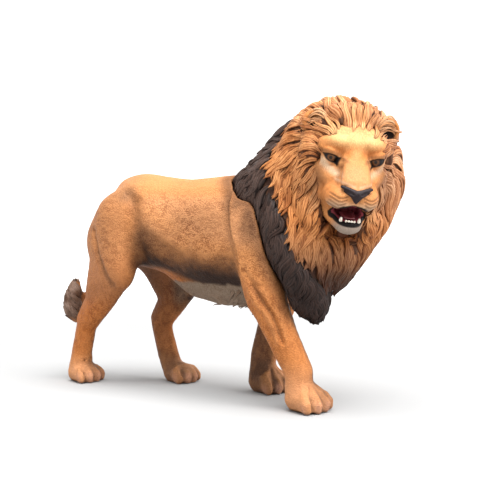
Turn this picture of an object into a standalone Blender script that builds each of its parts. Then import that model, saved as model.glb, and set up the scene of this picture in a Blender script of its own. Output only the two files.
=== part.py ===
"""A moulded plastic figure of a male lion, walking, with its head turned to its right.

The figure faces -Y, its left side is +X, and it stands on four flat soles at z = 0.
Every form starts as balls joined by their convex hull, in the way a sculptor lays pellets of
clay over a wire. A voxel remesh makes the pellets one body, smoothing blends them, and thin
cuts part that body into the pieces a person would name.
"""

import math

import bmesh
import bpy
from mathutils import Matrix, Vector

MM = 0.001

# Driving dimensions, in millimetres.
GAP = 0.3  # every thin cut between two pieces
FLAT_ANGLE = 2.5  # degrees between faces that count as one plane
PAW_CUT = 8.6  # height of the cut between a leg and its paw
SOLE_CUT = 0.0  # height of the ground under the soles
HEAD_CENTRE = (-1.7, -52.0, 69.6)
HEAD_TURN = -46.0  # degrees about +Z, to the lion's right
HEAD_PITCH = 8.0  # degrees, nose down
HEAD_ROLL = 6.0  # degrees, left ear down
EYE_CENTRE = (6.1, -7.6, 2.0)  # the left eye, from the centre of the head
EYE_RADIUS = 2.5
LID = 0.6  # thickness of an eyelid
BALL_RINGS = 10
BALL_SIDES = 18

# Finish of each moulded colour: base colour and roughness.
FINISHES = {
    "coat": ((0.62, 0.33, 0.12, 1.0), 0.55),
    "mane": ((0.50, 0.23, 0.07, 1.0), 0.55),
    "dark_mane": ((0.07, 0.045, 0.035, 1.0), 0.55),
    "black": ((0.012, 0.010, 0.010, 1.0), 0.35),
    "eye": ((0.20, 0.08, 0.02, 1.0), 0.15),
    "mouth": ((0.14, 0.02, 0.025, 1.0), 0.35),
    "ivory": ((0.78, 0.72, 0.60, 1.0), 0.35),
}


# ---------------------------------------------------------------- clay and tools


def ball(centre, radii, tilt=0.0, rings=BALL_RINGS, sides=BALL_SIDES):
    """Points of an ellipsoid. tilt turns it about X, in degrees, top towards the front."""
    radii = (radii,) * 3 if isinstance(radii, (int, float)) else radii
    turn = Matrix.Rotation(math.radians(tilt), 3, "X")
    points = []
    for ring in range(rings + 1):
        rise = math.pi * ring / rings
        for side in range(sides):
            way = 2 * math.pi * side / sides
            unit = (math.sin(rise) * math.cos(way), math.sin(rise) * math.sin(way), math.cos(rise))
            spread = Vector([size * share for size, share in zip(radii, unit)])
            points.append(Vector(centre) + turn @ spread)
    return points


def mirrored(points):
    return [Vector((-p.x, p.y, p.z)) for p in points]


class Clay:
    """Hulls of balls, gathered in one mesh. frame places them in the figure."""

    def __init__(self, frame=None):
        self.mesh = bmesh.new()
        self.frame = frame or Matrix.Identity(4)

    def lump(self, *balls):
        """The convex hull of one ball or several."""
        points = [point for one in balls for point in one]
        verts = [self.mesh.verts.new(self.frame @ point * MM) for point in points]
        made = bmesh.ops.convex_hull(self.mesh, input=verts, use_existing_faces=False)
        loose = [v for v in made["geom_interior"] + made["geom_unused"] if isinstance(v, bmesh.types.BMVert)]
        bmesh.ops.delete(self.mesh, geom=list(set(loose)), context="VERTS")

    def pair(self, *balls):
        """The same lump on both sides of the middle plane."""
        self.lump(*balls)
        self.lump(*[mirrored(one) for one in balls])

    def chain(self, *balls):
        """A limb: each ball joined to the next."""
        for first, second in zip(balls, balls[1:]):
            self.lump(first, second)

    def part(self, name, finish):
        """The gathered clay as an object."""
        bmesh.ops.recalc_face_normals(self.mesh, faces=self.mesh.faces)
        data = bpy.data.meshes.new(name)
        self.mesh.to_mesh(data)
        self.mesh.free()
        made = bpy.data.objects.new(name, data)
        bpy.context.scene.collection.objects.link(made)
        made.data.materials.append(material(finish))
        return made


def material(finish):
    found = bpy.data.materials.get(finish)
    if found:
        return found
    colour, roughness = FINISHES[finish]
    made = bpy.data.materials.new(finish)
    made.use_nodes = True
    shader = made.node_tree.nodes["Principled BSDF"]
    shader.inputs["Base Color"].default_value = colour
    shader.inputs["Roughness"].default_value = roughness
    shader.inputs["Metallic"].default_value = 0.0
    return made


def settle(piece):
    """Turns the piece's modifiers into its mesh."""
    bpy.context.view_layer.update()
    graph = bpy.context.evaluated_depsgraph_get()
    done = bpy.data.meshes.new_from_object(piece.evaluated_get(graph))
    piece.modifiers.clear()
    piece.data = done
    return piece


def fuse(piece, voxel, rounds, triangles):
    """Makes overlapping lumps one smooth body of about that many triangles."""
    remesh = piece.modifiers.new("remesh", "REMESH")
    remesh.mode = "VOXEL"
    remesh.voxel_size = voxel * MM
    smooth = piece.modifiers.new("smooth", "SMOOTH")
    smooth.factor = 0.5
    smooth.iterations = rounds
    settle(piece)
    faces = 2 * len(piece.data.polygons)
    thin = piece.modifiers.new("thin", "DECIMATE")
    thin.ratio = min(1.0, triangles / faces)
    return settle(piece)


def cut(piece, cutter, operation="DIFFERENCE"):
    boolean = piece.modifiers.new("cut", "BOOLEAN")
    boolean.operation = operation
    boolean.object = cutter
    return settle(piece)


def copy_of(piece, name, grown=0.0):
    """A copy of the piece, its surface moved outwards by grown millimetres."""
    made = bpy.data.objects.new(name, piece.data.copy())
    bpy.context.scene.collection.objects.link(made)
    if grown:
        swell = made.modifiers.new("swell", "DISPLACE")
        swell.strength = grown * MM
        swell.mid_level = 0.0
        settle(made)
    return made


def drop(*helpers):
    for helper in helpers:
        bpy.data.objects.remove(helper)


def beyond(planes, lift=0.0):
    """A block of all that lies beyond every plane. Each plane is a point and a direction."""
    form = bmesh.new()
    bmesh.ops.create_cube(form, size=240 * MM)
    for point, normal in planes:
        way = Vector(normal).normalized()
        at = (Vector(point) + way * lift) * MM
        shell = form.verts[:] + form.edges[:] + form.faces[:]
        found = bmesh.ops.bisect_plane(form, geom=shell, plane_co=at, plane_no=way, clear_inner=True)
        edges = [e for e in found["geom_cut"] if isinstance(e, bmesh.types.BMEdge)]
        bmesh.ops.contextual_create(form, geom=edges)
    bmesh.ops.recalc_face_normals(form, faces=form.faces)
    data = bpy.data.meshes.new("block")
    form.to_mesh(data)
    form.free()
    made = bpy.data.objects.new("block", data)
    bpy.context.scene.collection.objects.link(made)
    return made


def part_off(body, name, *planes):
    """Cuts what lies beyond the planes off the body, as a piece of its own, with a thin gap."""
    clear = beyond(planes, lift=GAP / 2)
    wide = beyond(planes, lift=-GAP / 2)
    piece = copy_of(body, name)
    cut(piece, clear, "INTERSECT")
    cut(body, wide)
    drop(clear, wide)
    keep_largest(body)
    return keep_largest(piece)


def keep_largest(piece):
    """Drops the crumbs that a cut may leave beside the piece."""
    form = bmesh.new()
    form.from_mesh(piece.data)
    islands, seen = [], set()
    for start in form.verts:
        if start in seen:
            continue
        island, front = set(), [start]
        while front:
            vert = front.pop()
            if vert in island:
                continue
            island.add(vert)
            front.extend(edge.other_vert(vert) for edge in vert.link_edges)
        seen |= island
        islands.append(island)
    islands.sort(key=len)
    for crumbs in islands[:-1]:
        bmesh.ops.delete(form, geom=list(crumbs), context="VERTS")
    form.to_mesh(piece.data)
    form.free()
    return piece


# ---------------------------------------------------------------- the body

# The joints of each leg, from top to toe.
RIGHT_FORELEG = {
    "side": -1,
    "elbow": (-11.5, -31.4, 31.5),
    "middle": (-11.0, -36.8, 20.6),
    "wrist": (-10.0, -41.8, 10.8),
    "paw": (-9.4, -44.1, 4.0),
}
LEFT_FORELEG = {
    "side": 1,
    "elbow": (11.3, -21.5, 32.0),
    "middle": (10.8, -17.6, 20.6),
    "wrist": (10.2, -14.6, 10.8),
    "paw": (9.8, -16.8, 4.0),
}
RIGHT_HIND_LEG = {
    "side": -1,
    "hip": (-7.5, 29.2, 51.6),
    "knee": (-11.3, 26.4, 36.2),
    "hock": (-9.9, 41.6, 18.6),
    "ankle": (-9.4, 44.6, 8.2),
    "paw": (-9.0, 43.8, 3.2),
}
LEFT_HIND_LEG = {
    "side": 1,
    "hip": (7.5, 25.6, 51.6),
    "knee": (11.0, 17.0, 33.0),
    "hock": (9.3, 26.6, 18.6),
    "ankle": (8.9, 23.0, 8.2),
    "paw": (8.7, 17.8, 3.2),
}
TAIL = [
    ((0.0, 33.6, 57.2), 2.9),
    ((0.2, 39.4, 54.0), 2.7),
    ((0.8, 44.4, 47.6), 2.5),
    ((1.4, 47.8, 39.0), 2.3),
    ((1.4, 49.2, 30.5), 2.1),
    ((0.2, 50.4, 23.6), 2.1),
    ((-2.4, 51.8, 19.8), 2.6),
    ((-4.2, 53.0, 22.4), 3.2),
    ((-4.1, 52.8, 27.0), 2.8),
    ((-3.4, 52.0, 32.6), 0.9),
]


def trunk_and_legs():
    """Trunk, haunches, shoulders, legs, paws and tail as one body."""
    clay = Clay()
    spine(clay)
    for leg in (RIGHT_FORELEG, LEFT_FORELEG):
        foreleg(clay, leg)
    for leg in (RIGHT_HIND_LEG, LEFT_HIND_LEG):
        hind_leg(clay, leg)
    clay.chain(*[ball(place, radius) for place, radius in TAIL])
    body = clay.part("trunk", "coat")
    return fuse(body, voxel=0.7, rounds=5, triangles=2440)


def spine(clay):
    """The barrel of the body, from the rump to the base of the neck."""
    clay.chain(
        ball((0, 32.0, 51.4), (10.8, 8.2, 11.0)),
        ball((0, 24, 52.5), (13, 10, 15.1)),
        ball((0, 8, 50), (12.2, 10, 15.4)),
        ball((0, -8, 48.5), (14.2, 12, 17.6)),
        ball((0, -24, 48.5), (14.2, 12, 18)),
        ball((0, -34, 51), (12.5, 10, 16)),
    )
    clay.chain(
        ball((0, 15, 49), (6.5, 8, 13.0)),
        ball((0, 3, 43.8), (8, 9, 15.2)),
        ball((0, -9, 41.6), (9.2, 11, 14.9)),
        ball((0, -27, 41.5), (10, 12, 13.5)),
    )
    clay.chain(
        ball((0, 26, 61.2), (7, 10, 6)),
        ball((0, 5, 60.2), (5, 8, 5.2)),
        ball((0, -18, 62.6), (5.5, 9, 4.8)),
    )
    clay.lump(ball((-1, -30, 58.5), (12, 10, 13)), ball((-2, -42, 64.5), (10, 9, 11)))


def foreleg(clay, leg):
    side, elbow, middle, wrist = leg["side"], leg["elbow"], leg["middle"], leg["wrist"]
    shoulder = (side * 10.4, -26.5, 49.5)
    blade_top = (side * 7.2, -19.5, 58.2)
    clay.lump(ball(blade_top, (4.8, 6.5, 5.0)), ball(shoulder, (5.8, 9.5, 10)))
    clay.lump(ball(shoulder, (5.8, 9.0, 9)), ball(elbow, (5.1, 6.6, 6.5)))
    point = (elbow[0], elbow[1] + 4.6, elbow[2] + 0.8)
    clay.lump(ball(elbow, (4.6, 5, 5)), ball(point, (2.8, 2.2, 3.4)))
    clay.chain(ball(elbow, (4.9, 6.0, 5.6)), ball(middle, (4.1, 5.0, 4.5)), ball(wrist, (3.9, 4.4, 4.0)))
    paw(clay, leg["paw"], heel=wrist, width=6.9, length=8.8, height=4.9)


def hind_leg(clay, leg):
    side, hip, knee, hock, ankle = leg["side"], leg["hip"], leg["knee"], leg["hock"], leg["ankle"]
    rump = (side * 6.6, hip[1] + 6.4, 45.4)
    clay.lump(ball(hip, (7.2, 8.8, 10.4)), ball(knee, (4.6, 6.4, 6.2)), ball(rump, (6.0, 7.4, 9.4)))
    shin = tuple(0.5 * (a + b) for a, b in zip(knee, hock))
    calf = (shin[0], shin[1] + 1.8, shin[2] + 2.6)
    clay.lump(ball(knee, (4.4, 6.0, 5.6)), ball(rump, (5.0, 4.8, 5.6)), ball(calf, (3.8, 4.4, 4.6)))
    clay.chain(ball(knee, (4.4, 5.6, 5.4)), ball(shin, (3.7, 4.8, 5.0)), ball(hock, (2.9, 3.6, 3.4)))
    point = (hock[0], hock[1] + 2.4, hock[2] + 1.4)
    clay.lump(ball(calf, (2.8, 3.0, 3.2)), ball(point, (1.9, 1.9, 2.2)), ball(hock, (2.4, 2.6, 2.4)))
    clay.chain(ball(hock, (2.9, 3.6, 3.4)), ball(ankle, (3.1, 3.9, 3.2)))
    paw(clay, leg["paw"], heel=ankle, width=5.8, length=7.7, height=4.2)


def paw(clay, at, heel, width, length, height):
    """A cat's paw: a pad under the wrist, four toes in an arc and their rounded tips."""
    x, y, z = at
    back = ball((x, y + 0.34 * length, z * 0.85), (width * 0.66, length * 0.42, height * 0.85))
    clay.lump(back, ball(heel, (width * 0.58, width * 0.6, 3.2)))
    clay.lump(back, ball((x, y - 0.10 * length, z * 0.82), (width * 0.86, length * 0.42, height * 0.86)))
    for toe in range(4):
        share = (toe - 1.5) / 1.5
        middle = 1.0 - 0.55 * share * share
        knuckle = (x + share * width * 0.66, y - length * (0.10 + 0.20 * middle), z * 0.78 + 0.5 * middle)
        tip = (x + share * width * 0.74, y - length * (0.32 + 0.26 * middle), z * 0.50)
        clay.lump(ball(knuckle, (1.62, 2.0, height * 0.62)), ball(tip, (1.52, 1.7, height * 0.50)))


# ---------------------------------------------------------------- the head


def head_frame():
    """From the head's own axes (facing -Y, left +X, up +Z) to its place in the figure."""
    turn = Matrix.Rotation(math.radians(HEAD_TURN), 4, "Z")
    pitch = Matrix.Rotation(math.radians(HEAD_PITCH), 4, "X")
    roll = Matrix.Rotation(math.radians(HEAD_ROLL), 4, "Y")
    return Matrix.Translation(Vector(HEAD_CENTRE)) @ turn @ pitch @ roll


def head():
    """Skull, brow, cheeks and muzzle, with lidded sockets for the eyes."""
    clay = Clay(head_frame())
    x, y, z = EYE_CENTRE
    clay.lump(ball((0, 2, 2.4), (10.4, 10.4, 10.4)))
    clay.lump(ball((0, -4.4, 7.4), (8.4, 5.2, 4.4)), ball((0, -9.2, 4.6), (3.4, 1.8, 3.0)))
    clay.pair(ball((4.0, -8.4, 6.0), (3.2, 2.4, 1.8)), ball((7.6, -5.6, 5.2), (2.4, 2.8, 2.4)))
    clay.pair(ball((x, y, z), EYE_RADIUS + GAP + LID))
    clay.pair(ball((7.0, -4.2, -2.2), (3.4, 5.2, 3.8)), ball((4.6, -8.6, -4.4), (3.0, 3.4, 3.4)))
    clay.pair(ball((6.6, -2.4, -7.2), (4.2, 5.8, 5.4)))
    clay.lump(ball((0, -8.0, -2.4), (5.6, 3.6, 5.0)), ball((0, -13.6, -6.2), (4.9, 3.8, 3.4)))
    clay.lump(ball((0, -9.4, 3.4), (3.1, 2.0, 2.6)), ball((0, -16.2, -3.8), (3.9, 1.9, 2.0)))
    clay.pair(ball((3.3, -14.6, -8.0), (3.7, 3.7, 3.0)), ball((5.0, -10.0, -7.4), (2.9, 3.6, 3.4)))
    clay.lump(ball((0, -16.6, -6.0), (3.4, 2.2, 2.4)))
    made = clay.part("head", "coat")
    return fuse(made, voxel=0.4, rounds=3, triangles=1150)


def open_eyes(head):
    """The slit between the lids of each eye."""
    x, y, z = EYE_CENTRE
    for side in (-1, 1):
        slit = Clay(head_frame())
        slit.lump(
            ball((side * (x - 2.0), y - 2.6, z - 0.55), 0.45, rings=6, sides=8),
            ball((side * (x + 0.1), y - 3.4, z + 0.1), (0.9, 1.6, 0.95), rings=6, sides=8),
            ball((side * (x + 2.2), y - 1.6, z + 0.45), 0.4, rings=6, sides=8),
            ball((side * (x - 1.6), y - 7.0, z - 0.5), 0.5, rings=6, sides=8),
            ball((side * (x + 1.6), y - 7.0, z + 0.4), 0.9, rings=6, sides=8),
        )
        opening = slit.part("eye_slit", "eye")
        cut(head, opening)
        drop(opening)


def jaw():
    """The lower jaw, dropped open, with the two lower canines."""
    clay = Clay(head_frame())
    clay.lump(ball((0, -4.0, -13.0), (7.0, 5.4, 4.2)), ball((0, -12.4, -16.2), (3.9, 2.8, 2.1)))
    made = clay.part("jaw", "coat")
    fuse(made, voxel=0.4, rounds=3, triangles=300)
    hollow = Clay(head_frame())
    hollow.lump(
        ball((0, -15.4, -13.4), (4.2, 2.0, 1.3), rings=5, sides=10),
        ball((0, -12.4, -14.6), (2.5, 1.9, 1.1), rings=5, sides=10),
        ball((0, -6.0, -12.6), (4.2, 2.5, 2.6), rings=5, sides=10),
    )
    cup = hollow.part("mouth_floor", "mouth")
    cut(made, cup)
    drop(cup)
    for side in (-1, 1):
        tooth = Clay(head_frame())
        tooth.lump(
            ball((side * 2.9, -13.2, -15.4), 0.75, rings=4, sides=7),
            ball((side * 2.7, -13.6, -12.7), 0.26, rings=3, sides=6),
        )
        canine = tooth.part("canine", "ivory")
        cut(made, canine, "UNION")
        drop(canine)
    return made


def eye(side):
    clay = Clay(head_frame())
    x, y, z = EYE_CENTRE
    clay.lump(ball((side * x, y, z), EYE_RADIUS, rings=7, sides=12))
    return clay.part("eye_left" if side > 0 else "eye_right", "eye")


def nose():
    """The leather of the nose: wide on top, narrow at the lip."""
    clay = Clay(head_frame())
    clay.lump(
        ball((0, -17.7, -5.1), (4.5, 1.1, 0.8), rings=6, sides=14),
        ball((0, -18.4, -6.2), (2.9, 1.2, 1.0), rings=6, sides=12),
        ball((0, -17.9, -7.9), (1.0, 1.0, 0.8), rings=6, sides=8),
    )
    return clay.part("nose", "black")


def ear(side):
    """A round cup, open towards the front and the side. The left one sits a little lower."""
    x, z = (9.8, 10.4) if side > 0 else (-10.6, 11.2)
    clay = Clay(head_frame())
    clay.lump(ball((x, -1.2, z), (3.7, 2.6, 3.9), 12), ball((x - side * 1.4, 0.8, z - 3.4), (3.4, 2.4, 2.6)))
    made = clay.part("ear_left" if side > 0 else "ear_right", "mane")
    hollow = Clay(head_frame())
    hollow.lump(ball((x + side * 0.5, -4.2, z + 0.2), (2.5, 3.0, 2.8), 12))
    cup = hollow.part("ear_hollow", "mane")
    cut(made, cup)
    drop(cup)
    return fuse(made, voxel=0.35, rounds=2, triangles=180)


def tongue():
    clay = Clay(head_frame())
    tip = ball((0, -12.6, -14.7), (1.5, 1.2, 0.45), rings=6, sides=10)
    root = ball((0, -8.2, -13.6), (2.2, 1.6, 0.8), rings=6, sides=10)
    clay.lump(tip, root)
    return clay.part("tongue", "mouth")


# ---------------------------------------------------------------- the mane


def ruff():
    """The front of the mane: crown, sides and beard, round the face."""
    clay = Clay(head_frame())
    clay.lump(ball((-1.0, 4.5, 6.6), (15.0, 10.5, 12.0)))
    clay.lump(ball((-0.8, 4.5, -5.6), (20.0, 10.0, 16.0)), ball((-0.8, 4.5, 4), (17.4, 9.5, 13)))
    clay.lump(ball((-0.8, 3.0, -13.6), (17.4, 9.0, 12)), ball((-2.5, -1.5, -24), (12.0, 8.0, 8.5)))
    clay.lump(ball((-2.5, -1.5, -24), (11.0, 7.5, 8.5)), ball((-3.2, -1.5, -32.5), (5.0, 4.2, 3.8)))
    clay.lump(ball((2.6, -1.5, -25), (6.0, 6.0, 6.0)), ball((2.4, -1.5, -33.6), (2.8, 3.2, 2.6)))
    made = clay.part("mane_ruff", "mane")
    return fuse(made, voxel=0.8, rounds=5, triangles=760)


def cape():
    """The back of the mane, moulded solid with the neck: withers, shoulders and chest."""
    clay = Clay()
    clay.chain(
        ball((-2, -44, 75.0), (8.5, 9, 11.8)),
        ball((0, -34.0, 73.2), (7.0, 8.0, 9.3)),
        ball((0, -26, 68.0), (6.2, 6.6, 6.3)),
        ball((0, -16, 63.8), (5, 4, 4)),
    )
    clay.chain(
        ball((0, -34.5, 65.0), (14.0, 10.0, 13.0)),
        ball((0, -23.5, 61.0), (11.6, 7.5, 8.4)),
        ball((0, -17, 62.8), (6, 4, 4)),
    )
    clay.chain(
        ball((0, -33.5, 61.5), (15.8, 9.5, 15)),
        ball((-2, -38, 48.5), (15.4, 8.5, 13)),
        ball((-6.0, -43.6, 36.5), (9.6, 6, 8)),
        ball((-6.6, -45.2, 27.6), (3.2, 2.8, 3.6)),
    )
    clay.lump(ball((-3.0, -44, 47.5), (11, 8, 12)), ball((-9.0, -42.4, 31.4), (4.4, 3.6, 4.2)))
    made = clay.part("mane_cape", "dark_mane")
    return fuse(made, voxel=0.9, rounds=5, triangles=720)


# ---------------------------------------------------------------- assembly


def on_the_ground(body):
    """Flat soles: what lies below the ground is cut away."""
    below = beyond([((0, 0, SOLE_CUT), (0, 0, -1))])
    cut(body, below)
    drop(below)


def make_room(piece, *neighbours, triangles=None):
    """Cuts the neighbours out of the piece. triangles makes each cutter that coarse, and so a little larger."""
    for neighbour in neighbours:
        cutter = copy_of(neighbour, "room", grown=GAP if triangles is None else 2.2 * GAP)
        if triangles:
            thin = cutter.modifiers.new("thin", "DECIMATE")
            thin.ratio = min(1.0, triangles / faces_of(cutter))
            settle(cutter)
        cut(piece, cutter)
        drop(cutter)
    keep_largest(piece)


def faces_of(piece):
    return sum(len(face.vertices) - 2 for face in piece.data.polygons)


def cut_into_pieces(body):
    """The tail, each leg and each paw, off the body by thin cuts."""
    behind, low = ((0, 46.6, 0), (0, 1, 0)), ((0, 0, 40), (0, 0, -1))
    part_off(body, "tail_tuft", ((-1.0, 51.2, 20.4), (-1.0, 0.3, -0.5)), behind, low, ((0, 0, 13.5), (0, 0, 1)))
    sides = ((-7, 0, 0), (1, 0, 0)), ((7, 0, 0), (-1, 0, 0))
    part_off(body, "tail", ((0, 39.2, 55), (0, 1.0, -0.15)), *sides, ((0, 0, 13.5), (0, 0, 1)))
    # The hip or shoulder cut, the cut across the flank, and the limits towards the middle and the other pair.
    outer, inner = (0.8, 0, -0.6), (1, 0, 0)
    cuts = {
        "hind_leg": (outer, 8, 43, 2, (0, 1, -0.9), {-1: 17.5, 1: 9.5}, 38, ((0, 4, 0), (0, 1, 0))),
        "fore_leg": (outer, 9, 42, 3, (0, -1, -0.5), {-1: -21, 1: -11}, 36, ((0, -2, 0), (0, -1, 0))),
    }
    for name, (slope, out, up, middle, across, flank, height, pair) in cuts.items():
        for side in (-1, 1):
            hip = ((side * out, 0, up), (side * slope[0], 0, slope[2]))
            fold = ((0, flank[side], height), across)
            inside = ((side * middle, 0, 0), (side * inner[0], 0, 0))
            leg = part_off(body, f"{name}_{'left' if side > 0 else 'right'}", hip, fold, inside, pair)
            part_off(leg, leg.name.replace("leg", "paw"), ((0, 0, PAW_CUT), (0, 0, -1)))


def flatten(piece):
    """Joins the small faces that cuts leave in one plane."""
    flat = piece.modifiers.new("flat", "DECIMATE")
    flat.decimate_type = "DISSOLVE"
    flat.angle_limit = math.radians(FLAT_ANGLE)
    triangles = piece.modifiers.new("triangles", "TRIANGULATE")
    triangles.quad_method = "BEAUTY"
    triangles.ngon_method = "BEAUTY"
    return settle(piece)


def stand_at_origin():
    """Moves the figure so that the middle of its footprint is the origin."""
    corners = [v.co for piece in bpy.data.objects for v in piece.data.vertices]
    low = Vector([min(c[axis] for c in corners) for axis in range(3)])
    high = Vector([max(c[axis] for c in corners) for axis in range(3)])
    shift = Vector((-(low.x + high.x) / 2, -(low.y + high.y) / 2, -low.z))
    for piece in bpy.data.objects:
        for vert in piece.data.vertices:
            vert.co += shift
    print("moved by", [round(c / MM, 3) for c in shift])


def main():
    for old in list(bpy.data.objects):
        bpy.data.objects.remove(old)
    body = trunk_and_legs()
    on_the_ground(body)
    face, lower, front, back = head(), jaw(), ruff(), cape()
    eyes = [eye(side) for side in (-1, 1)]
    ears = [ear(side) for side in (-1, 1)]
    leather, lick = nose(), tongue()
    make_room(lower, face, triangles=600)
    make_room(front, *ears, triangles=120)
    make_room(front, face, lower, triangles=300)
    make_room(back, front, triangles=500)
    make_room(back, face, lower, triangles=200)
    make_room(body, back, front, triangles=500)
    make_room(face, *ears, triangles=120)
    open_eyes(face)
    make_room(face, leather, *eyes)
    cut_into_pieces(body)
    for piece in list(bpy.data.objects):
        flatten(piece)
    stand_at_origin()


main()
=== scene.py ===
# %% [markdown]
# # A moulded and painted toy lion
# The figure is one casting of soft plastic with a stamped coat, deep carved locks in its mane and
# several coats of sprayed and brushed paint. Blender could show it as particle hair or as a flat
# painted skin. Here it is sculpted instead, the way a toy maker does it: smooth clay over the solid
# model, strokes of a tool, locks laid one over the other, and then paint. Each cell is one step.

# %% Load the solid model
import itertools
import math

import bmesh
import bpy
import numpy as np
from mathutils import Matrix, Vector
from mathutils.bvhtree import BVHTree


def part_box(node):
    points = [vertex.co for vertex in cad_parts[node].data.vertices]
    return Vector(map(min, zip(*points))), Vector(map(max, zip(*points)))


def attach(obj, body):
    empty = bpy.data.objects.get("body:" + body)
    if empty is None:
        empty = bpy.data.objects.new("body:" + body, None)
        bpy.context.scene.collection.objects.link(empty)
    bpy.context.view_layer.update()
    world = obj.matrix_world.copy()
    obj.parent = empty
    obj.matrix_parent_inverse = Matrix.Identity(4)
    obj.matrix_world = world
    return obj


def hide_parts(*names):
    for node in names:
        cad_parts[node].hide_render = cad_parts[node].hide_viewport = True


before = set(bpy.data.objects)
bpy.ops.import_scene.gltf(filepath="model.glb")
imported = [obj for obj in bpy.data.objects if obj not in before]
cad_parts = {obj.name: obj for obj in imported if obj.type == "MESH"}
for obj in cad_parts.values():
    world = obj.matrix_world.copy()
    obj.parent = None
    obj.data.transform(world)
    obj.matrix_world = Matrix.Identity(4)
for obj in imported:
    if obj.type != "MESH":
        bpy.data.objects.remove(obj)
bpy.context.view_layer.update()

MM = 0.001

# %% [markdown]
# ## Points as arrays
# A sculpted surface has a hundred thousand points, so a Python loop over them is slow. Blender can
# hand over all of them at once as a flat list, and numpy then moves them together. Everything below
# works in millimetres, because that is how a figure of this size is measured.

# %% Read and write the points of a mesh
def read(items, name, width):
    found = np.empty(len(items) * width, np.float32)
    items.foreach_get(name, found)
    return found.reshape(-1, width).astype(float)


def points_of(piece):
    return read(piece.data.vertices, "co", 3) / MM


def normals_of(piece):
    return read(piece.data.vertex_normals, "vector", 3)


def put_points(piece, points):
    piece.data.vertices.foreach_set("co", (points * MM).astype(np.float32).ravel())
    piece.data.update()


def edges_of(piece):
    found = np.empty(len(piece.data.edges) * 2, np.int32)
    piece.data.edges.foreach_get("vertices", found)
    return found.reshape(-1, 2)


def unit(vectors):
    return vectors / np.maximum(np.linalg.norm(vectors, axis=-1, keepdims=True), 1e-9)


def mesh_piece(name, points, quads):
    """A new smooth-shaded object made of four-sided faces."""
    data = bpy.data.meshes.new(name)
    data.vertices.add(len(points))
    data.vertices.foreach_set("co", (points * MM).astype(np.float32).ravel())
    data.loops.add(quads.size)
    data.loops.foreach_set("vertex_index", quads.astype(np.int32).ravel())
    data.polygons.add(len(quads))
    data.polygons.foreach_set("loop_start", np.arange(0, quads.size, 4, dtype=np.int32))
    data.update(calc_edges=True)
    data.validate()
    return shown(name, data)


def note(piece, label, values):
    """Writes a number at every point of the piece, for its paint to read."""
    written = piece.data.attributes.new(label, "FLOAT", "POINT").data
    written.foreach_set("value", np.ascontiguousarray(values, np.float32))


def shown(name, data):
    data.shade_smooth()
    made = bpy.data.objects.new(name, data)
    bpy.context.scene.collection.objects.link(made)
    return made


# %% [markdown]
# ## Soft steps, grain and curves
# Masks decide where paint or clay goes. A hard edge looks printed on, so every mask is a soft step
# from 0 to 1. The grain is smooth noise worked out from the place alone: it gives the same figure
# on every run. A curve goes smoothly through a few points, as a bent wire does.

# %% Steps, grain and curves
def step(low, high, value):
    share = np.clip((value - low) / (high - low), 0, 1)
    return share * share * (3 - 2 * share)


PRIMES = (73856093, 19349663, 83492791)  # they mix a cell's three counts into one number


def grain(points, size, seed=0):
    """Smooth noise from -1 to 1 whose bumps are about size millimetres across."""
    place = points / size
    cell = np.floor(place).astype(np.int64)
    part = place - cell
    part = part * part * (3 - 2 * part)
    total = np.zeros(len(points))
    for corner in itertools.product((0, 1), repeat=3):
        key = (cell + corner) * PRIMES
        key = key[:, 0] ^ key[:, 1] ^ key[:, 2] ^ (seed * 2654435761 % 2**31)
        key = ((key ^ (key >> 13)) * 1274126177) & 0xFFFFFF
        total += (key / 0x7FFFFF - 1) * np.where(corner, part, 1 - part).prod(1)
    return total


def curve(points, count=24):
    """Places along a smooth curve through the given points."""
    given = np.array(points, float)
    padded = np.vstack([2 * given[0] - given[1], given, 2 * given[-1] - given[-2]])
    places = []
    for share in np.linspace(0, len(given) - 1, count):
        at = min(int(share), len(given) - 2)
        t = share - at
        a, b, c, d = padded[at : at + 4]
        bend, twist = 2 * a - 5 * b + 4 * c - d, 3 * b - a - 3 * c + d
        places.append(0.5 * (2 * b + (c - a) * t + bend * t**2 + twist * t**3))
    return np.array(places)


def distance_to(points, path):
    """From each point to the nearest place on a chain of straight pieces."""
    best = np.full(len(points), 1e9)
    for start, end in zip(path, path[1:]):
        along = end - start
        share = np.clip((points - start) @ along / max(along @ along, 1e-9), 0, 1)
        best = np.minimum(best, np.linalg.norm(points - start - share[:, None] * along, axis=1))
    return best


def near(points, centre, radii, soft=0.5):
    """1 inside an ellipsoid and 0 outside it; soft is the share of the radius where it fades."""
    reach = np.linalg.norm((points - np.array(centre)) / np.array(radii), axis=1)
    return 1 - step(1 - soft, 1 + soft, reach)


# %% [markdown]
# ## Clay
# The skin could be modelled face by face, or grown with a Subdivision Surface. Clay suits an animal
# better: balls joined by their convex hull make limbs and muscles, a voxel remesh turns the whole
# heap into one even net of small faces, and relaxing that net melts the joins together.

# %% Clay tools
def settle(piece):
    """Turns the piece's modifiers into its mesh."""
    bpy.context.view_layer.update()
    done = bpy.data.meshes.new_from_object(piece.evaluated_get(bpy.context.evaluated_depsgraph_get()))
    piece.modifiers.clear()
    piece.data = done
    piece.data.shade_smooth()


def remesh(piece, voxel):
    change = piece.modifiers.new("remesh", "REMESH")
    change.mode = "VOXEL"
    change.voxel_size = voxel * MM
    settle(piece)


def relaxed(piece, share, rounds):
    """The piece's points, each moved towards the middle of its neighbours by its share, that many times."""
    points, edges = points_of(piece), edges_of(piece)
    first, second = edges.T
    count = np.bincount(edges.ravel(), minlength=len(points))[:, None]
    share = np.broadcast_to(share, len(points))[:, None]
    for _ in range(rounds):
        total = np.stack([np.bincount(first, values[second], len(points))
                          + np.bincount(second, values[first], len(points)) for values in points.T], 1)
        points += share * (total / count - points)
    return points


def relax(piece, share, rounds):
    put_points(piece, relaxed(piece, share, rounds))


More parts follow.
